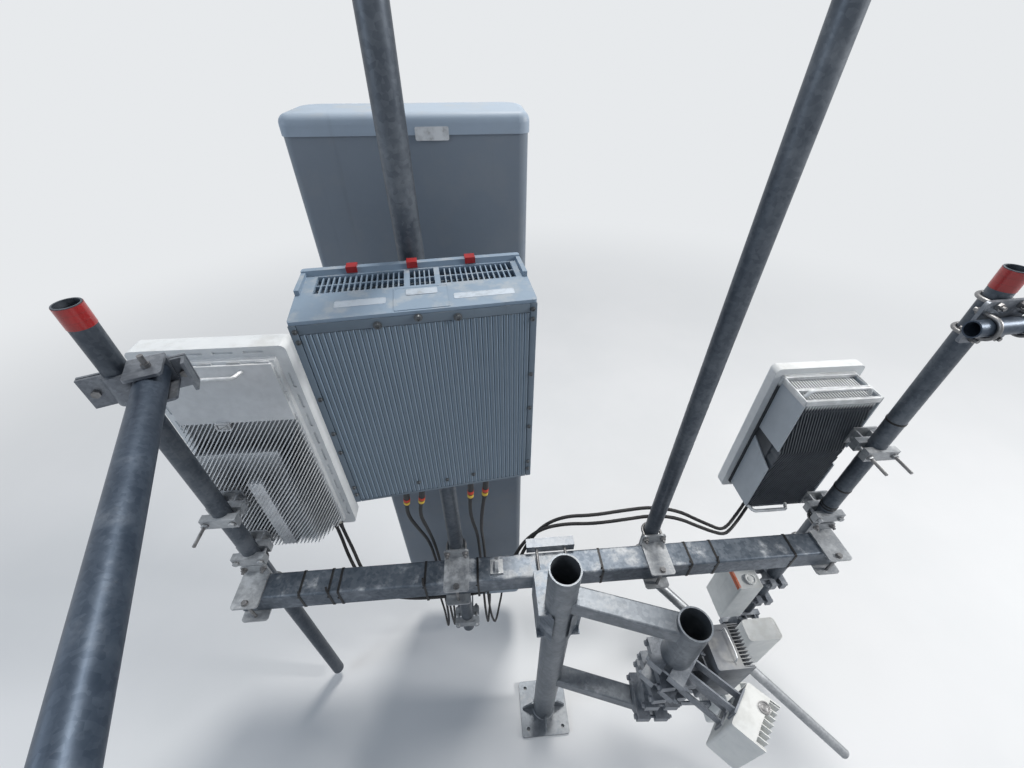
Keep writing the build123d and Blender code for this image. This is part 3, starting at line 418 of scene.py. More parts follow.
def choose(piece, test, kind="FACE"):
    """Edit mode, with only the faces or edges selected whose middle and direction pass the test."""
    if piece.mode != "EDIT":
        bpy.ops.object.mode_set(mode="EDIT")
    bpy.ops.mesh.select_mode(type=kind)
    bpy.ops.mesh.select_all(action="DESELECT")
    shape = bmesh.from_edit_mesh(piece.data)
    for item in shape.faces if kind == "FACE" else shape.edges:
        middle = sum((corner.co for corner in item.verts), Vector()) / len(item.verts)
        way = item.normal if kind == "FACE" else (item.verts[1].co - item.verts[0].co).normalized()
        if test(middle, way):
            item.select_set(True)
    shape.select_flush_mode()
    bmesh.update_edit_mesh(piece.data)


def upward(middle, way):
    """Test for faces that look up."""
    return way.z > 0.9


def endways(middle, way):
    """Test for faces that look up or down, and for upright edges."""
    return abs(way.z) > 0.9


def extrude(x=0.0, y=0.0, z=0.0, grow=1.0):
    """Pulls what is selected out by a step and scales its new end."""
    bpy.ops.mesh.extrude_region_move(TRANSFORM_OT_translate={"value": (x, y, z)})
    if grow != 1.0:
        bpy.ops.transform.resize(value=(grow, grow, grow))


def inset(width):
    """Sets a smaller face into each selected one."""
    bpy.ops.mesh.inset(thickness=width)


def shaped(piece, edge=0.0, angle=35):
    """Back in object mode, normals outwards, sharp edges rounded and curved faces smooth."""
    if piece.mode != "EDIT":
        bpy.ops.object.mode_set(mode="EDIT")
    bpy.ops.mesh.select_all(action="SELECT")
    bpy.ops.mesh.normals_make_consistent(inside=False)
    bpy.ops.object.mode_set(mode="OBJECT")
    if edge:
        rounding = piece.modifiers.new("edge", "BEVEL")
        rounding.width, rounding.segments, rounding.limit_method = edge, 2, "ANGLE"
        bpy.ops.object.modifier_apply(modifier=rounding.name)
    bpy.ops.object.shade_smooth_by_angle(angle=math.radians(angle))
    return piece


def place(piece, name, material, slot, replaced=()):
    """Names a finished piece, gives it its finish and rides it on the mount."""
    piece.name = name
    piece.data.materials.clear()
    piece.data.materials.append(material)
    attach(piece, "root")
    if replaced:
        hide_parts(*replaced)
    return piece


def joined(parts):
    """One piece made of all the parts."""
    bpy.ops.object.select_all(action="DESELECT")
    for part in parts:
        part.select_set(True)
    bpy.context.view_layer.objects.active = parts[0]
    bpy.ops.object.join()
    return parts[0]


def scatter(master, places):
    """Copies the master to each place, each with its own mesh, and joins them into one piece."""
    copies = []
    for spot in places:
        copy = master.copy()
        copy.data = master.data.copy()
        copy.data.transform(spot)
        bpy.context.scene.collection.objects.link(copy)
        copies.append(copy)
    bpy.data.objects.remove(master)
    return joined(copies)


def facing(point, way, roll=0.0):
    """Place that turns a master's +Z along way and puts its origin at the point."""
    turn = Vector(way).to_track_quat("Z", "Y").to_matrix().to_4x4()
    return Matrix.Translation(point) @ turn @ Matrix.Rotation(math.radians(roll), 4, "Z")


def washer(radius, hole, thick):
    """Flat ring that lies on XY round the origin."""
    ring = drum(radius, thick, 20)
    choose(ring, endways)
    inset(radius - hole)
    bpy.ops.mesh.bridge_edge_loops()
    return shaped(ring, 0.0003)


def thread(radius, length):
    """Threaded tip that stands on XY, ridge by ridge, with a chamfered end."""
    pitch = 0.0018
    stud = start(bpy.ops.mesh.primitive_circle_add, vertices=12, radius=radius * 0.9,
                 fill_type="NGON")
    choose(stud, lambda middle, way: True)
    for _ in range(round(length / pitch)):
        extrude(z=pitch / 2, grow=1 / 0.9)
        extrude(z=pitch / 2, grow=0.9)
    extrude(z=pitch / 2, grow=0.8)
    return shaped(stud)


def strap_ring(radius, width, thick):
    """Band that lies round Z, its middle at the origin."""
    ring = drum(radius + thick, width, 40, -width / 2)
    choose(ring, endways)
    inset(thick)
    bpy.ops.mesh.bridge_edge_loops()
    return shaped(ring, 0.0003)


def tie_head(tail):
    """Ratchet head of a cable tie against a wall at y = 0, its cut tail curling up towards -Y."""
    head = block((0, -0.0035, 0), (0.0125, 0.007, 0.0085))
    choose(head, upward)
    inset(0.0019)
    extrude(z=-0.0012)
    for step in range(6):
        extrude(y=-0.0008 * step, z=tail / 6, grow=0.97)
    return shaped(head, 0.0005)


def boot(radius, end, length):
    """Ribbed strain relief that hangs from XY down a lead."""
    ribs = 5
    sleeve = start(bpy.ops.mesh.primitive_circle_add, vertices=20, radius=radius, fill_type="NGON")
    choose(sleeve, lambda middle, way: True)
    extrude(z=-length * 0.3)
    size = radius
    for rib in range(ribs):
        wide = radius + (end - radius) * (rib + 1) / ribs
        extrude(z=-length * 0.06, grow=(wide - 0.0010) / size)
        extrude(z=-length * 0.04, grow=wide / (wide - 0.0010))
        extrude(z=-length * 0.04)
        size = wide
    return shaped(sleeve)


def blank_plate(width, height, thick=0.0008, corner=0.004):
    """Bare label sheet with rounded corners and a fine printed-edge step, lying on XY."""
    sheet = block((0, 0, thick / 2), (width, height, thick))
    choose(sheet, endways, "EDGE")
    bpy.ops.mesh.bevel(offset=corner, segments=4)
    choose(sheet, upward)
    inset(0.0015)
    extrude(z=-thick * 0.3)
    return shaped(sheet)


def cap_screw(radius, tall):
    """Flanged pan-head screw with a socket, standing on XY."""
    head = drum(radius * 1.3, 0.0012, 18)
    choose(head, upward)
    inset(radius * 0.3)
    extrude(z=tall, grow=0.9)
    inset(radius * 0.35)
    extrude(z=-tall * 0.6)
    return shaped(head, 0.0003)


def bead(radius, thick, lumps):
    """Weld bead that lies round Z, rippled by its passes."""
    ring = start(bpy.ops.mesh.primitive_torus_add, major_radius=radius, minor_radius=thick,
                 major_segments=lumps * 2, minor_segments=8)
    step = math.pi / lumps
    choose(ring, lambda middle, way: int(math.atan2(middle.y, middle.x) / step + 1000) % 2 == 0)
    bpy.ops.transform.shrink_fatten(value=thick * 0.16)
    return shaped(ring, 0, 60)


# Places on the mount

FRONT, UP, DOWN = (0, -1, 0), (0, 0, 1), (0, 0, -1)
PIPE_NAMES = ("left", "centre", "bare", "right")
PIPES = {name: sum(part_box(f"mount_pipe_{name}"), Vector()) / 2 for name in PIPE_NAMES}
PIPE_RADIUS = (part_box("mount_pipe_left")[1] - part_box("mount_pipe_left")[0]).x / 2
TUBE_LOW, TUBE_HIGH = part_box("face_tube")


# Cords

JUMPER_THICK, FEEDER_THICK = 0.012, 0.015
JUMPER_TOP, JUMPER_DROP = 2.0274, 1.920
# Where each jumper leaves the radio, by its side of the pipe and by inner (0) or outer (1)
JUMPER_START = {(-1, 0): (0.0468, 0.1150), (1, 0): (0.0963, 0.1313),
                (-1, 1): (0.0945, 0.1096), (1, 1): (0.1440, 0.1368)}
JUMPER_INNER = [
    (0.082, 0.140, 1.775), (0.084, 0.190, 1.620), (0.090, 0.252, 1.460), (0.092, 0.296, 1.300),
    (0.092, 0.318, 1.130), (0.092, 0.326, 0.955), (0.092, 0.328, 0.780), (0.092, 0.332, 0.610),
    (0.094, 0.342, 0.460), (0.096, 0.364, 0.350), (0.098, 0.380, 0.266), (0.102, 0.428, 0.2185),
    (0.110, 0.495, 0.2185), (0.117, 0.543, 0.266), (0.117, 0.543, 0.3604)]
JUMPER_OUTER = [
    (0.124, 0.144, 1.770), (0.114, 0.190, 1.610), (0.110, 0.250, 1.450), (0.112, 0.302, 1.295),
    (0.112, 0.330, 1.125), (0.112, 0.344, 0.950), (0.112, 0.350, 0.775), (0.113, 0.354, 0.605),
    (0.118, 0.360, 0.460), (0.126, 0.368, 0.350), (0.138, 0.377, 0.262), (0.152, 0.426, 0.210),
    (0.170, 0.495, 0.210), (0.190, 0.543, 0.262), (0.195, 0.543, 0.3604)]
FEEDER_BACK = [
    (-0.943, 0.4565, 1.2777), (-0.943, 0.4565, 1.170), (-0.925, 0.415, 1.090),
    (-0.875, 0.338, 1.050), (-0.790, 0.250, 1.070), (-0.690, 0.190, 1.130),
    (-0.575, 0.163, 1.172), (-0.450, 0.160, 1.178), (-0.330, 0.160, 1.178),
    (-0.225, 0.192, 1.170), (-0.158, 0.262, 1.188), (-0.105, 0.314, 1.245),
    (-0.030, 0.328, 1.318), (0.075, 0.328, 1.345), (0.200, 0.326, 1.332), (0.330, 0.326, 1.345),
    (0.460, 0.328, 1.362), (0.580, 0.322, 1.335), (0.685, 0.308, 1.275), (0.775, 0.304, 1.222),
    (0.850, 0.328, 1.158), (0.918, 0.374, 1.112), (0.982, 0.422, 1.122), (1.026, 0.4565, 1.190),
    (1.026, 0.4565, 1.3327)]
FEEDER_FRONT = [
    (-0.920, 0.4565, 1.2777), (-0.920, 0.4565, 1.180), (-0.895, 0.420, 1.105),
    (-0.850, 0.340, 1.075), (-0.775, 0.245, 1.090), (-0.680, 0.175, 1.135),
    (-0.570, 0.140, 1.172), (-0.450, 0.136, 1.178), (-0.330, 0.136, 1.178),
    (-0.222, 0.160, 1.172), (-0.145, 0.235, 1.178), (-0.090, 0.310, 1.232),
    (-0.020, 0.348, 1.308), (0.075, 0.350, 1.368), (0.200, 0.348, 1.362), (0.330, 0.348, 1.382),
    (0.460, 0.350, 1.392), (0.590, 0.346, 1.350), (0.680, 0.336, 1.290), (0.760, 0.330, 1.240),
    (0.828, 0.340, 1.182), (0.894, 0.377, 1.138), (0.956, 0.424, 1.148), (1.000, 0.4565, 1.212),
    (1.000, 0.4565, 1.3327)]
FEEDERS = (("feeder_back", FEEDER_BACK, 2.652), ("feeder_front", FEEDER_FRONT, 2.593))
JUMPER_BOOT, FEEDER_BOOT = (0.0125, 0.0070, 0.046), (0.0100, 0.0082, 0.034)
SLEEVE_RADIUS, SLEEVE_START, SLEEVE_STEP, SLEEVE_SPOTS = 0.0092, 0.030, 0.012, 14
# Colour of each marker band, and its distance along the jumper
BANDS = {"red": ((0.50, 0.04, 0.015), 0.150), "yellow": ((0.62, 0.42, 0.04), 0.168)}


def curve_along(name, points, radius=0.0, sides=5, steps=10, kind="NURBS"):
    """Curve of one spline along the points, with a round section where it has a radius."""
    curve = bpy.data.curves.new(name, "CURVE")
    curve.dimensions, curve.resolution_u = "3D", steps
    curve.bevel_depth, curve.bevel_resolution, curve.use_fill_caps = radius, sides, radius > 0
    spline = curve.splines.new(kind)
    spline.points.add(len(points) - 1)
    for knot, point in zip(spline.points, points):
        knot.co = (*point, 1)
    spline.order_u = 3
    spline.use_endpoint_u = True
    return curve


def lead(name, points, thick, node, material):
    """Lead of one smooth spline along its route, in place of the node it hides."""
    curve = curve_along(name, points, thick / 2)
    cable = added(name, curve)
    curve.materials.append(material)
    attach(cable, "root")
    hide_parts(node)


def boots(name, route, material, radius, end, length):
    """Boots at both ends of a lead's route."""
    pair = scatter(boot(radius, end, length), [facing(route[0], UP), facing(route[-1], UP)])
    return place(pair, f"{name}_boots", material, "cable")


def leads():
    """Jumpers and feeders with their boots. Returns the jumpers' routes by name."""
    jacket = rubber("jacket")
    sleeve = rubber("boot_rubber", (0.020, 0.020, 0.023), 0.42)
    axis = PIPES["centre"].x
    routes = {}
    for (side, outer), (x, y) in JUMPER_START.items():
        name = f"jumper_{'left' if side < 0 else 'right'}_{'outer' if outer else 'inner'}"
        below = JUMPER_OUTER if outer else JUMPER_INNER
        route = [(x, y, JUMPER_TOP), (x, y, JUMPER_DROP)] + below
        routes[name] = [(axis + side * a, b, c) for a, b, c in route]
    for name, route in routes.items():
        ends = boots(name, route, sleeve, *JUMPER_BOOT)
        lead(name, route, JUMPER_THICK, "radio_jumpers", jacket)
    for name, route, length in FEEDERS:
        ends = boots(name, route, sleeve, *FEEDER_BOOT)
        lead(name, route, FEEDER_THICK, "feeders", jacket)
    return routes


def spline_path(route):
    """Points along the bare spline of a route, as the finished lead has them."""
    holder = bpy.data.objects.new("path", curve_along("path", route))
    mesh = bpy.data.meshes.new_from_object(holder)
    path = [corner.co.copy() for corner in mesh.vertices]
    bpy.data.objects.remove(holder)
    return path


def spot_along(path, distance):
    """Point and direction of a path at a distance from its start."""
    for here, ahead in zip(path, path[1:]):
        step = (ahead - here).length
        if distance <= step:
            return here.lerp(ahead, distance / step), (ahead - here).normalized()
        distance -= step
    return path[-1], (path[-1] - path[-2]).normalized()


def jumper_sleeves(routes):
    """Shrink sleeves on the jumpers' upper ends, each with its two coloured marker bands."""
    spots = {tone: [] for tone in BANDS}
    for name, route in routes.items():
        path = spline_path(route)
        points = [spot_along(path, SLEEVE_START + SLEEVE_STEP * i)[0] for i in range(SLEEVE_SPOTS)]
        sleeve = curve_along(f"{name}_sleeve", points, SLEEVE_RADIUS, kind="POLY")
        place(added(sleeve.name, sleeve), sleeve.name, bpy.data.materials["boot_rubber"], "cable")
        for tone, (_, distance) in BANDS.items():
            spots[tone].append(facing(*spot_along(path, distance)))
    for tone, (colour, _) in BANDS.items():
        ring = strap_ring(SLEEVE_RADIUS + 0.0001, 0.014, 0.0008)
        paint = rubber(f"{tone}_band", colour, 0.35, 0.3)
        place(scatter(ring, spots[tone]), f"{tone}_marker_bands", paint, "cable")


# Fasteners, straps and welds

FLANGE_THICK = 0.016
BOLT_RADIUS = 0.006
WASHER = {"radius": 0.0128, "hole": 0.0064, "thick": 0.0024}
PLATE_BOLT_Y, PLATE_TOP, PLATE_FOOT = 0.110, 1.3083, 1.1894
U_BOLT_SPREAD, U_BOLT_HEIGHTS, U_BOLT_TIP_Y = 0.03645, (1.160, 1.338), 0.2215
CLAMP_BOLT_SPREAD, CLAMP_FRONT_Y, ROD_FOOT_Y = 0.0465, 0.230, 0.221
# Heights of the flat antennas' clamps, and the clamp bolts that are long rods
CLAMPS = {"left": (1.393, 1.654), "right": (1.393, 1.792)}
LONG_RODS = (("left", -1), ("right", -1), ("right", 1))
TIE_SHARES = (-0.81, -0.72, -0.69, -0.42, -0.25, 0.16, 0.46, 0.55, 0.82)
TIE_TURNS = (-8, 5, 12, -4)
STRAP_HEIGHTS = (1.938, 1.450, 1.436, 1.560)


def fasteners(steel):
    """Washers and threaded tips of the saddles' and the antenna clamps' bolts."""
    rings, tips, rods = [], [], []
    for pipe in PIPES.values():
        rings.append(facing((pipe.x, PLATE_BOLT_Y, PLATE_TOP), UP))
        rings.append(facing((pipe.x, PLATE_BOLT_Y, PLATE_FOOT), DOWN))
        for side in (-1, 1):
            for z in U_BOLT_HEIGHTS:
                rings.append(facing((pipe.x + side * U_BOLT_SPREAD, TUBE_HIGH.y, z), FRONT))
                tips.append(facing((pipe.x + side * U_BOLT_SPREAD, U_BOLT_TIP_Y, z), FRONT))
    for name, heights in CLAMPS.items():
        for z in heights:
            for side in (-1, 1):
                x = PIPES[name].x + side * CLAMP_BOLT_SPREAD
                rings.append(facing((x, CLAMP_FRONT_Y, z), FRONT))
    for name, side in LONG_RODS:
        x = PIPES[name].x + side * CLAMP_BOLT_SPREAD
        rods.append(facing((x, ROD_FOOT_Y, CLAMPS[name][1]), FRONT))
    place(scatter(washer(**WASHER), rings), "flat_washers", steel, "hardware")
    place(scatter(thread(BOLT_RADIUS + 0.0003, 0.0085), tips), "u_bolt_threads", steel, "hardware")
    place(scatter(thread(BOLT_RADIUS, 0.072), rods), "long_threaded_rods", steel, "hardware")


def straps(black):
    """Ratchet heads of the ties round the tube, and the ties round the right pipe."""
    short, long, loops = [], [], []
    for turn, share in enumerate(TIE_SHARES):
        spot = (share * TUBE_HIGH.x, TUBE_LOW.y - 0.0018, TUBE_HIGH.z - 0.020 - 0.013 * (turn % 3))
        (short, long)[turn % 2].append(facing(spot, UP, TIE_TURNS[turn % len(TIE_TURNS)]))
    pipe = PIPES["right"]
    for z in STRAP_HEIGHTS:
        loops.append(facing((pipe.x, pipe.y, z), UP, z * 900))
        short.append(facing((pipe.x, pipe.y - PIPE_RADIUS - 0.001, z), UP))
    place(scatter(tie_head(0.022), short), "short_tie_tails", black, "cable")
    place(scatter(tie_head(0.052), long), "long_tie_tails", black, "cable")
    band = strap_ring(PIPE_RADIUS + 0.0002, 0.007, 0.0014)
    place(scatter(band, loops), "right_pipe_straps", black, "cable")


def welds(zinc):
    """Bead round the main post's foot, on the flange."""
    low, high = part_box("main_post")
    ring = bead((high - low).x / 2 + 0.0015, 0.0042, 60)
    foot = facing((0, 0, FLANGE_THICK), UP)
    place(scatter(ring, [foot]), "post_foot_weld", zinc, "galvanised")


# Radio in the centre, and the panel antenna

RADIO = (Matrix.Translation((-0.390, 0.26975, 0)) @ Matrix.Rotation(math.radians(6.5), 4, "Z")
         @ Matrix.Translation((0.008, -0.260, 2.062)))
RADIO_HALF, RADIO_DECK, RADIO_BACK = 0.227, 0.519, 0.186
RADIO_RIBS, RIB_DEPTH, RIB_GROOVE, RIB_BORDER, RIB_CHAMFER = 40, 0.0032, 0.0016, 0.014, 0.0018
RIB_FOOT, RIB_TOP = 0.008, RADIO_DECK - 0.020
SCREW_Y, SIDE_SCREW_X = -0.0002, 0.218
SIDE_SCREWS = (0.507, 0.485, 0.347, 0.248, 0.187, 0.059, 0.031)
FOOT_SCREWS = ((-0.064, 0.041), (0.007, 0.035), (0.075, 0.040))
TOP_SCREWS = ((-0.075, 0.505), (0.0, 0.513), (0.073, 0.506))
DECK_SLOPE, DECK_FRONT, DECK_STEP = math.atan2(0.006, 0.0836), 0.002, 0.007
# Size of each blank plate, and its place on the deck
DECK_PLATES = {"left": ((0.094, 0.022), (-0.104, 0.047)),
               "right": ((0.118, 0.020), (0.130, 0.040)),
               "middle": ((0.060, 0.022), (0.011, 0.066, 0.0014))}
PANEL_PLATE = (-0.3305, 0.4770, 2.798)


def radio_case(paint):
    """Case with chamfered ribs on its front between plain borders."""
    case = block((0, (RIB_DEPTH + RADIO_BACK) / 2, RADIO_DECK / 2),
                 (2 * RADIO_HALF, RADIO_BACK - RIB_DEPTH, RADIO_DECK))
    choose(case, lambda middle, way: endways(middle, way) and middle.y > RADIO_BACK - 0.001, "EDGE")
    bpy.ops.mesh.bevel(offset=0.009, segments=3)
    parts = [shaped(case, 0.0008)]
    span = 2 * (RADIO_HALF - RIB_BORDER)
    pitch = span / RADIO_RIBS
    rib = block((0, RIB_DEPTH / 2, (RIB_FOOT + RIB_TOP) / 2),
                (pitch - RIB_GROOVE, RIB_DEPTH, RIB_TOP - RIB_FOOT))
    choose(rib, lambda middle, way: endways(middle, way) and middle.y < 0.001, "EDGE")
    bpy.ops.mesh.bevel(offset=RIB_CHAMFER, segments=1)
    choose(rib, lambda middle, way: way.y > 0.9)
    bpy.ops.mesh.delete(type="FACE")
    bpy.ops.object.mode_set(mode="OBJECT")
    first = -RADIO_HALF + RIB_BORDER + pitch / 2
    places = [Matrix.Translation((first + i * pitch, 0, 0)) for i in range(RADIO_RIBS)]
    parts.append(scatter(rib, places))
    for side in (-1, 1):
        edge = block((side * (RADIO_HALF - RIB_BORDER / 2 + 0.0005), RIB_DEPTH / 2, RADIO_DECK / 2),
                     (RIB_BORDER - 0.001, RIB_DEPTH, RADIO_DECK))
        parts.append(shaped(edge, 0.0008))
    for low, high in ((0.0, RIB_FOOT - 0.001), (RIB_TOP + 0.001, RADIO_DECK)):
        edge = block((0, RIB_DEPTH / 2, (low + high) / 2), (span, RIB_DEPTH, high - low))
        parts.append(shaped(edge, 0.0008))
    for part in parts:
        part.data.transform(RADIO)
    place(joined(parts), "radio_ribbed_case", paint, "radio_paint", ["centre_radio_body"])


def on_deck(x, y, lift=0.0):
    """Place on the radio's sloping deck."""
    spot = (x, y, RADIO_DECK + DECK_STEP + (y - DECK_FRONT) * math.tan(DECK_SLOPE) + lift)
    return RADIO @ Matrix.Translation(spot) @ Matrix.Rotation(DECK_SLOPE, 4, "X")


def radio_details(steel, sheet):
    """Screws round the front, and the pad and the blank plates on the deck."""
    sides = [(side * SIDE_SCREW_X, z) for side in (-1, 1) for z in SIDE_SCREWS]
    small = [RADIO @ facing((x, SCREW_Y, z), FRONT) for x, z in (*sides, *FOOT_SCREWS)]
    place(scatter(cap_screw(0.0040, 0.0030), small), "radio_front_screws", steel, "hardware")
    large = [RADIO @ facing((x, SCREW_Y, z), FRONT) for x, z in TOP_SCREWS]
    place(scatter(cap_screw(0.0064, 0.0048), large), "radio_top_screws", steel, "hardware")
    pad = scatter(blank_plate(0.104, 0.078, 0.0016, 0.003), [on_deck(0.010, 0.045)])
    place(pad, "radio_deck_pad", bpy.data.materials["radio_pale_sky_reflection"], "radio_paint")
    for name, (size, spot) in DECK_PLATES.items():
        place(scatter(blank_plate(*size), [on_deck(*spot)]), f"radio_plate_{name}", sheet, "radome")


def panel_details(sheet):
    """Blank plate on the top cap's near side."""
    spot = Matrix.Translation(PANEL_PLATE) @ Matrix.Rotation(math.radians(90), 4, "X")
    place(scatter(blank_plate(0.079, 0.029), [spot]), "panel_plate", sheet, "radome")


# Flat antennas

DECK_BOSS = (-1.145, 0.4369, 1.932)
RAIL_FRONT, RAIL_BACK, RAIL_WIDE = 0.4475, 0.4660, 0.017
SIDE_TABS, SIDE_TAB_PITCH, TOP_TABS, TOP_TAB_PITCH = 8, 0.100, 4, 0.087
EAR_BACK = 0.491


def deck_boss(cast):
    """Cast boss on the left antenna's deck."""
    boss = block((0, 0, 0.005), (0.050, 0.036, 0.010))
    choose(boss, endways, "EDGE")
    bpy.ops.mesh.bevel(offset=0.008, segments=3)
    choose(boss, upward)
    inset(0.006)
    extrude(z=-0.005)
    inset(0.004)
    extrude(z=0.007, grow=0.85)
    shaped(boss, 0.0008)
    place(scatter(boss, [facing(DECK_BOSS, FRONT)]), "left_deck_boss", cast, "fins")


def rim_rail(paint):
    """Rail with slotted tabs between the left antenna's rim and its heat sink."""
    low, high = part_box("left_antenna_heat_sink")
    rail = block(((low.x + high.x) / 2, (RAIL_FRONT + RAIL_BACK) / 2, (low.z + high.z) / 2),
                 (high.x - low.x - 0.001, RAIL_BACK - RAIL_FRONT, high.z - low.z - 0.001))
    choose(rail, lambda middle, way: abs(way.y) > 0.9)
    inset(RAIL_WIDE)
    bpy.ops.mesh.bridge_edge_loops()
    place(shaped(rail, 0.0012), "left_rim_rail", paint, "radome")
    tab = block((0, 0, 0.002), (0.042, 0.011, 0.004))
    choose(tab, upward)
    inset(0.0022)
    extrude(z=-0.0020)
    shaped(tab, 0.0004)
    y, spots = RAIL_FRONT - 0.0001, []
    for i in range(SIDE_TABS):
        z = high.z - 0.051 - SIDE_TAB_PITCH * i
        for side, x in ((-1, low.x), (1, high.x)):
            spots.append(facing((x - side * RAIL_WIDE / 2, y, z), FRONT, 90))
    for i in range(TOP_TABS):
        spots.append(facing((low.x + 0.105 + TOP_TAB_PITCH * i, y, high.z - RAIL_WIDE / 2), FRONT))
    place(scatter(tab, spots), "left_rim_tabs", bpy.data.materials["handle_cast"], "radome")


def comb_bars(paint):
    """White bars round the comb of fins on the right antenna's top, and the ears that join them."""
    low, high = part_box("right_antenna_heat_sink")
    left, right = low.x + 0.008, high.x - 0.008
    parts = []
    for y, drop, deep, tall in ((low.y + 0.0035, 0.0140, 0.012, 0.020),
                                (0.4080, 0.0120, 0.014, 0.018), (0.4810, 0.0080, 0.014, 0.016)):
        bar = block(((left + right) / 2, y + deep / 2 - 0.004, high.z - drop),
                    (right - left, deep, tall))
        choose(bar, upward)
        inset(deep * 0.22)
        extrude(z=-0.0025)
        parts.append(shaped(bar, 0.0012))
    for x in (left - 0.002, right + 0.002):
        ear = block((x, (low.y + EAR_BACK) / 2, high.z - 0.016), (0.005, EAR_BACK - low.y, 0.026))
        parts.append(shaped(ear, 0.0012))
    place(joined(parts), "right_comb_bars", paint, "fins")


# Small radios

LID_STEP = 0.006
COVER_PORT = (0.660, -0.338, 1.1995)
HANDLE_RADIUS, HANDLE_INSET, HANDLE_RISE = 0.0028, 0.022, 0.034


def small_case(node, name, paint, corner):
    """Plain case in a small radio's place: rounded upright edges, a stepped lid and a seam."""
    low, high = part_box(node)
    middle, size = (low + high) / 2, high - low
    case = block(middle, size)
    choose(case, endways, "EDGE")
    bpy.ops.mesh.bevel(offset=corner, segments=5)
    choose(case, endways)
    inset(LID_STEP)
    choose(case, lambda at, way: endways(at, way) and abs(at.x - middle.x) < size.x * 0.3)
    bpy.ops.mesh.inset(thickness=LID_STEP * 0.4, depth=-0.0015)
    place(shaped(case, 0.0016), name, paint, "radio_paint", [node])


def disc(radius, tall, hollow):
    """Round cover that stands on XY, dished in its middle."""
    cover = drum(radius, tall, 32)
    choose(cover, upward)
    inset(radius * 0.22)
    extrude(z=-hollow)
    inset(radius * 0.3)
    extrude(z=hollow * 0.6)
    return shaped(cover, 0.0008)


def small_radio_details(paint, white, orange, steel):
    """Cases, lid discs, edge strip, round port and wire handle of the small radios."""
    small_case("grey_radio", "grey_radio_case", paint, 0.010)
    small_case("white_radio", "white_radio_case", white, 0.022)
    low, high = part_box("grey_radio")
    middle = (low + high) / 2
    spots = [facing((middle.x + 0.012, middle.y + side * 0.042, high.z - 0.0005), UP)
             for side in (-1, 1)]
    place(scatter(disc(0.026, 0.010, 0.004), spots), "grey_radio_discs", white, "radio_paint")
    strip = block((low.x + 0.0045, middle.y, high.z - 0.012),
                  (0.011, (high - low).y - 0.016, 0.026))
    choose(strip, lambda at, way: way.x < -0.9)
    inset(0.003)
    extrude(x=-0.0012)
    place(shaped(strip, 0.0016), "grey_radio_strip", orange, "red_tape")
    port = scatter(disc(0.020, 0.004, 0.003), [facing(COVER_PORT, UP)])
    place(port, "cover_radio_port", steel, "port")
    low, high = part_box("finned_radio")
    x, near, far = (low.x + high.x) / 2, low.y + HANDLE_INSET, high.y - HANDLE_INSET
    wire = [(near, -0.004), (near, 0.022), (near + 0.006, HANDLE_RISE),
            (far - 0.006, HANDLE_RISE), (far, 0.022), (far, -0.004)]
    points = [(x, y, high.z + rise) for y, rise in wire]
    handle = curve_along("finned_radio_handle", points, HANDLE_RADIUS, sides=3, steps=12)
    place(added(handle.name, handle), handle.name, bpy.data.materials["handle_cast"], "hardware")


# Finishes of the nodes, and the order of work

def dress(material, *names):
    """Gives each node the one finish."""
    for name in names:
        node = NODES[name]
        node.data.materials.clear()
        node.data.materials.append(material)
        for face in node.data.polygons:
            face.material_index = 0


def named(*parts):
    """Names of the nodes that hold one of the parts."""
    return [name for name in NODES if any(part in name for part in parts)]


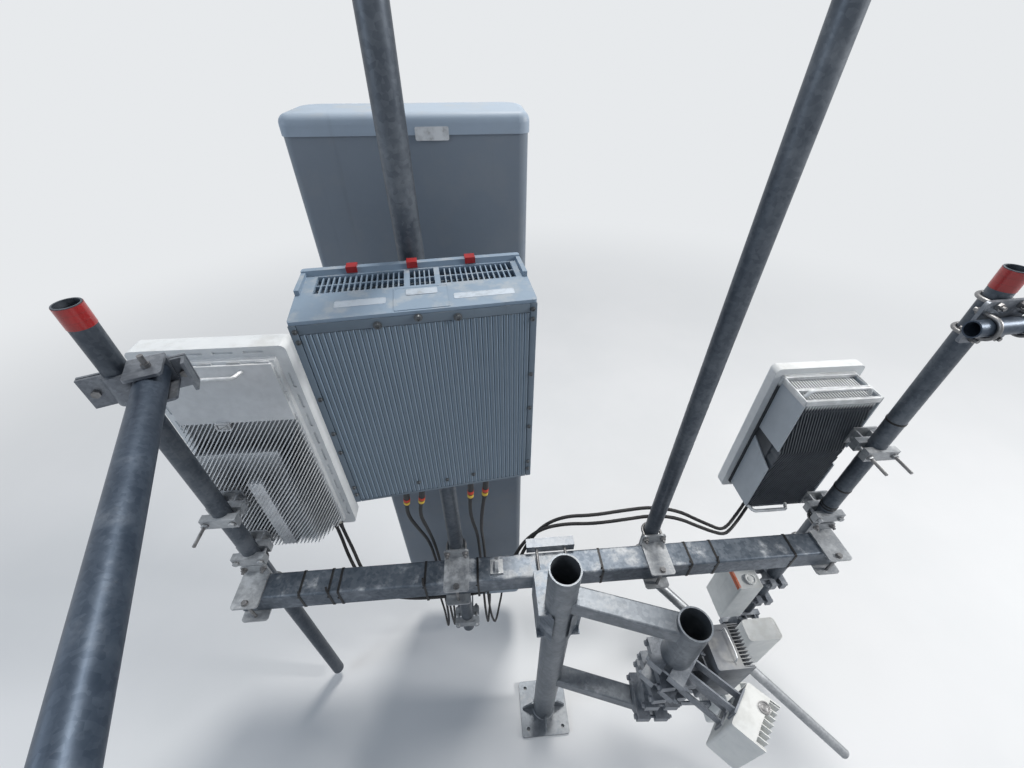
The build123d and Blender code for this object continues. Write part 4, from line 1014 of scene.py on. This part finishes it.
def dress_nodes():
    """A finish for every node but the leads."""
    # Painted shade: the tube's, the mount pipes' and the tie pipes' zinc is painted dark and
    # bluish.
    dress(galvanised("shaded_tube_zinc", (0.060, 0.078, 0.102), (0.175, 0.20, 0.235), 80, 0.9, 0.3),
          "face_tube", "face_bracket")
    dress(galvanised("post_zinc", (0.11, 0.125, 0.145), (0.20, 0.22, 0.245), 80, 0.45),
          "main_post", "side_post", "base_flange", "post_arms")
    dress(galvanised("shaded_pipe_zinc", (0.050, 0.062, 0.080), (0.110, 0.127, 0.150), 110, 0.18, 0.2),
          *named("mount_pipe"))
    dress(galvanised("shaded_tie_zinc", (0.034, 0.050, 0.076), (0.078, 0.102, 0.138), 110, 0.12, 0.2),
          *named("tie_pipe"))
    dress(galvanised("plate_zinc", (0.25, 0.265, 0.285), (0.42, 0.435, 0.45), 120, 0.9, 0.2),
          *named("crossover_saddle", "_antenna_brackets"), "cable_hanger", "stiff_arm")
    dress(galvanised("clamp_zinc", (0.13, 0.145, 0.17), (0.24, 0.26, 0.29), 120, 0.35, 0.2),
          "tie_plates", "face_bracket_bars", "stiff_arm_clamp", "small_radio_clamps",
          "centre_radio_brackets")
    dress(plated("bolts", (0.25, 0.25, 0.255)),
          *named("crossover_bolts"), "tie_u_bolts", "face_bracket_studs")
    # Painted shade: the panel's radome is painted dark blue-grey. Painted reflection: its caps are
    # paler and bluer, the sky shown in them.
    dress(moulded("shaded_panel_radome", (0.17, 0.205, 0.25), (0.148, 0.18, 0.222)), "panel_antenna_body")
    dress(moulded("end_caps_sky_reflection", (0.32, 0.39, 0.475), (0.27, 0.335, 0.415), 0.46),
          "panel_antenna_caps")
    dress(moulded("antenna_radome", (0.72, 0.745, 0.76), (0.64, 0.67, 0.695)),
          "left_antenna_radome", "right_antenna_radome")
    # Painted shade: the radio's case is painted dark slate blue, though its paint is pale grey.
    # Painted reflection: the guard on its top is paler and bluer, the sky shown in it.
    dress(powder_coat("radio_body_paint_shaded", (0.120, 0.158, 0.200), (0.100, 0.135, 0.172), chamfer_highlight=0.8),
          "centre_radio_body")
    dress(powder_coat("radio_pale_sky_reflection", (0.20, 0.268, 0.35), (0.17, 0.232, 0.305)),
          "centre_radio_guard")
    dress(powder_coat("cover_paint", (0.40, 0.445, 0.49), (0.35, 0.39, 0.435), 0.42),
          "right_antenna_covers")
    dress(powder_coat("box_paint", (0.60, 0.62, 0.62), (0.50, 0.525, 0.53)),
          "grey_radio", "white_radio", "plain_radio")
    dress(powder_coat("white_paint", (0.68, 0.69, 0.68), (0.58, 0.60, 0.60)), "cover_radio")
    dress(cast_metal("handle_cast", (0.78, 0.80, 0.82)), "antenna_handles")
    low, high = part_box("left_antenna_heat_sink")
    dress(cast_fins("silver_fins", (0.90, 0.92, 0.94), (0.56, 0.58, 0.60), high.y - 0.03, low.y),
          "left_antenna_heat_sink")
    # Painted shade: the right antenna's light cast fins are painted near black, with a painted
    # highlight at their crown.
    low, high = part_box("right_antenna_heat_sink")
    dress(cast_fins("shaded_grey_fins", (0.085, 0.098, 0.115), (0.02, 0.023, 0.028), high.y - 0.06, low.y,
                    crown=(high.z - 0.052, high.z - 0.034)), "right_antenna_heat_sink")
    low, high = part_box("finned_radio")
    dress(cast_fins("dark_fins", (0.20, 0.215, 0.24), (0.05, 0.056, 0.066), high.y - 0.03, low.y),
          "finned_radio")
    dress(tape("red_tape", (0.32, 0.009, 0.009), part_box("red_tape_bands")[0].z, 0.019),
          "red_tape_bands", "centre_radio_tabs")
    dress(plated("port_metal", (0.60, 0.58, 0.53), 0.05), *named("_ports"), "feeder_glands")
    dress(rubber("tie_nylon", (0.010, 0.010, 0.011), 0.35, 0.25), "cable_ties")


def furnish():
    """Everything that is modelled here, with its own finishes."""
    finish = bpy.data.materials
    routes = leads()
    jumper_sleeves(routes)
    fasteners(finish["bolts"])
    straps(finish["tie_nylon"])
    welds(finish["post_zinc"])
    radio_case(finish["radio_body_paint_shaded"])
    radio_details(plated("dull_screws", (0.11, 0.12, 0.13)), foil("deck_foil", (0.40, 0.455, 0.52)))
    panel_details(foil("cap_foil", (0.66, 0.68, 0.70)))
    deck_boss(cast_metal("boss_cast", (0.72, 0.74, 0.76)))
    rim_rail(finish["antenna_radome"])
    comb_bars(finish["handle_cast"])
    orange = powder_coat("strip_paint", (0.55, 0.12, 0.04), (0.42, 0.09, 0.035))
    small_radio_details(finish["box_paint"], finish["white_paint"], orange, finish["bolts"])


camera()
dress_nodes()
furnish()
floor()
studio()
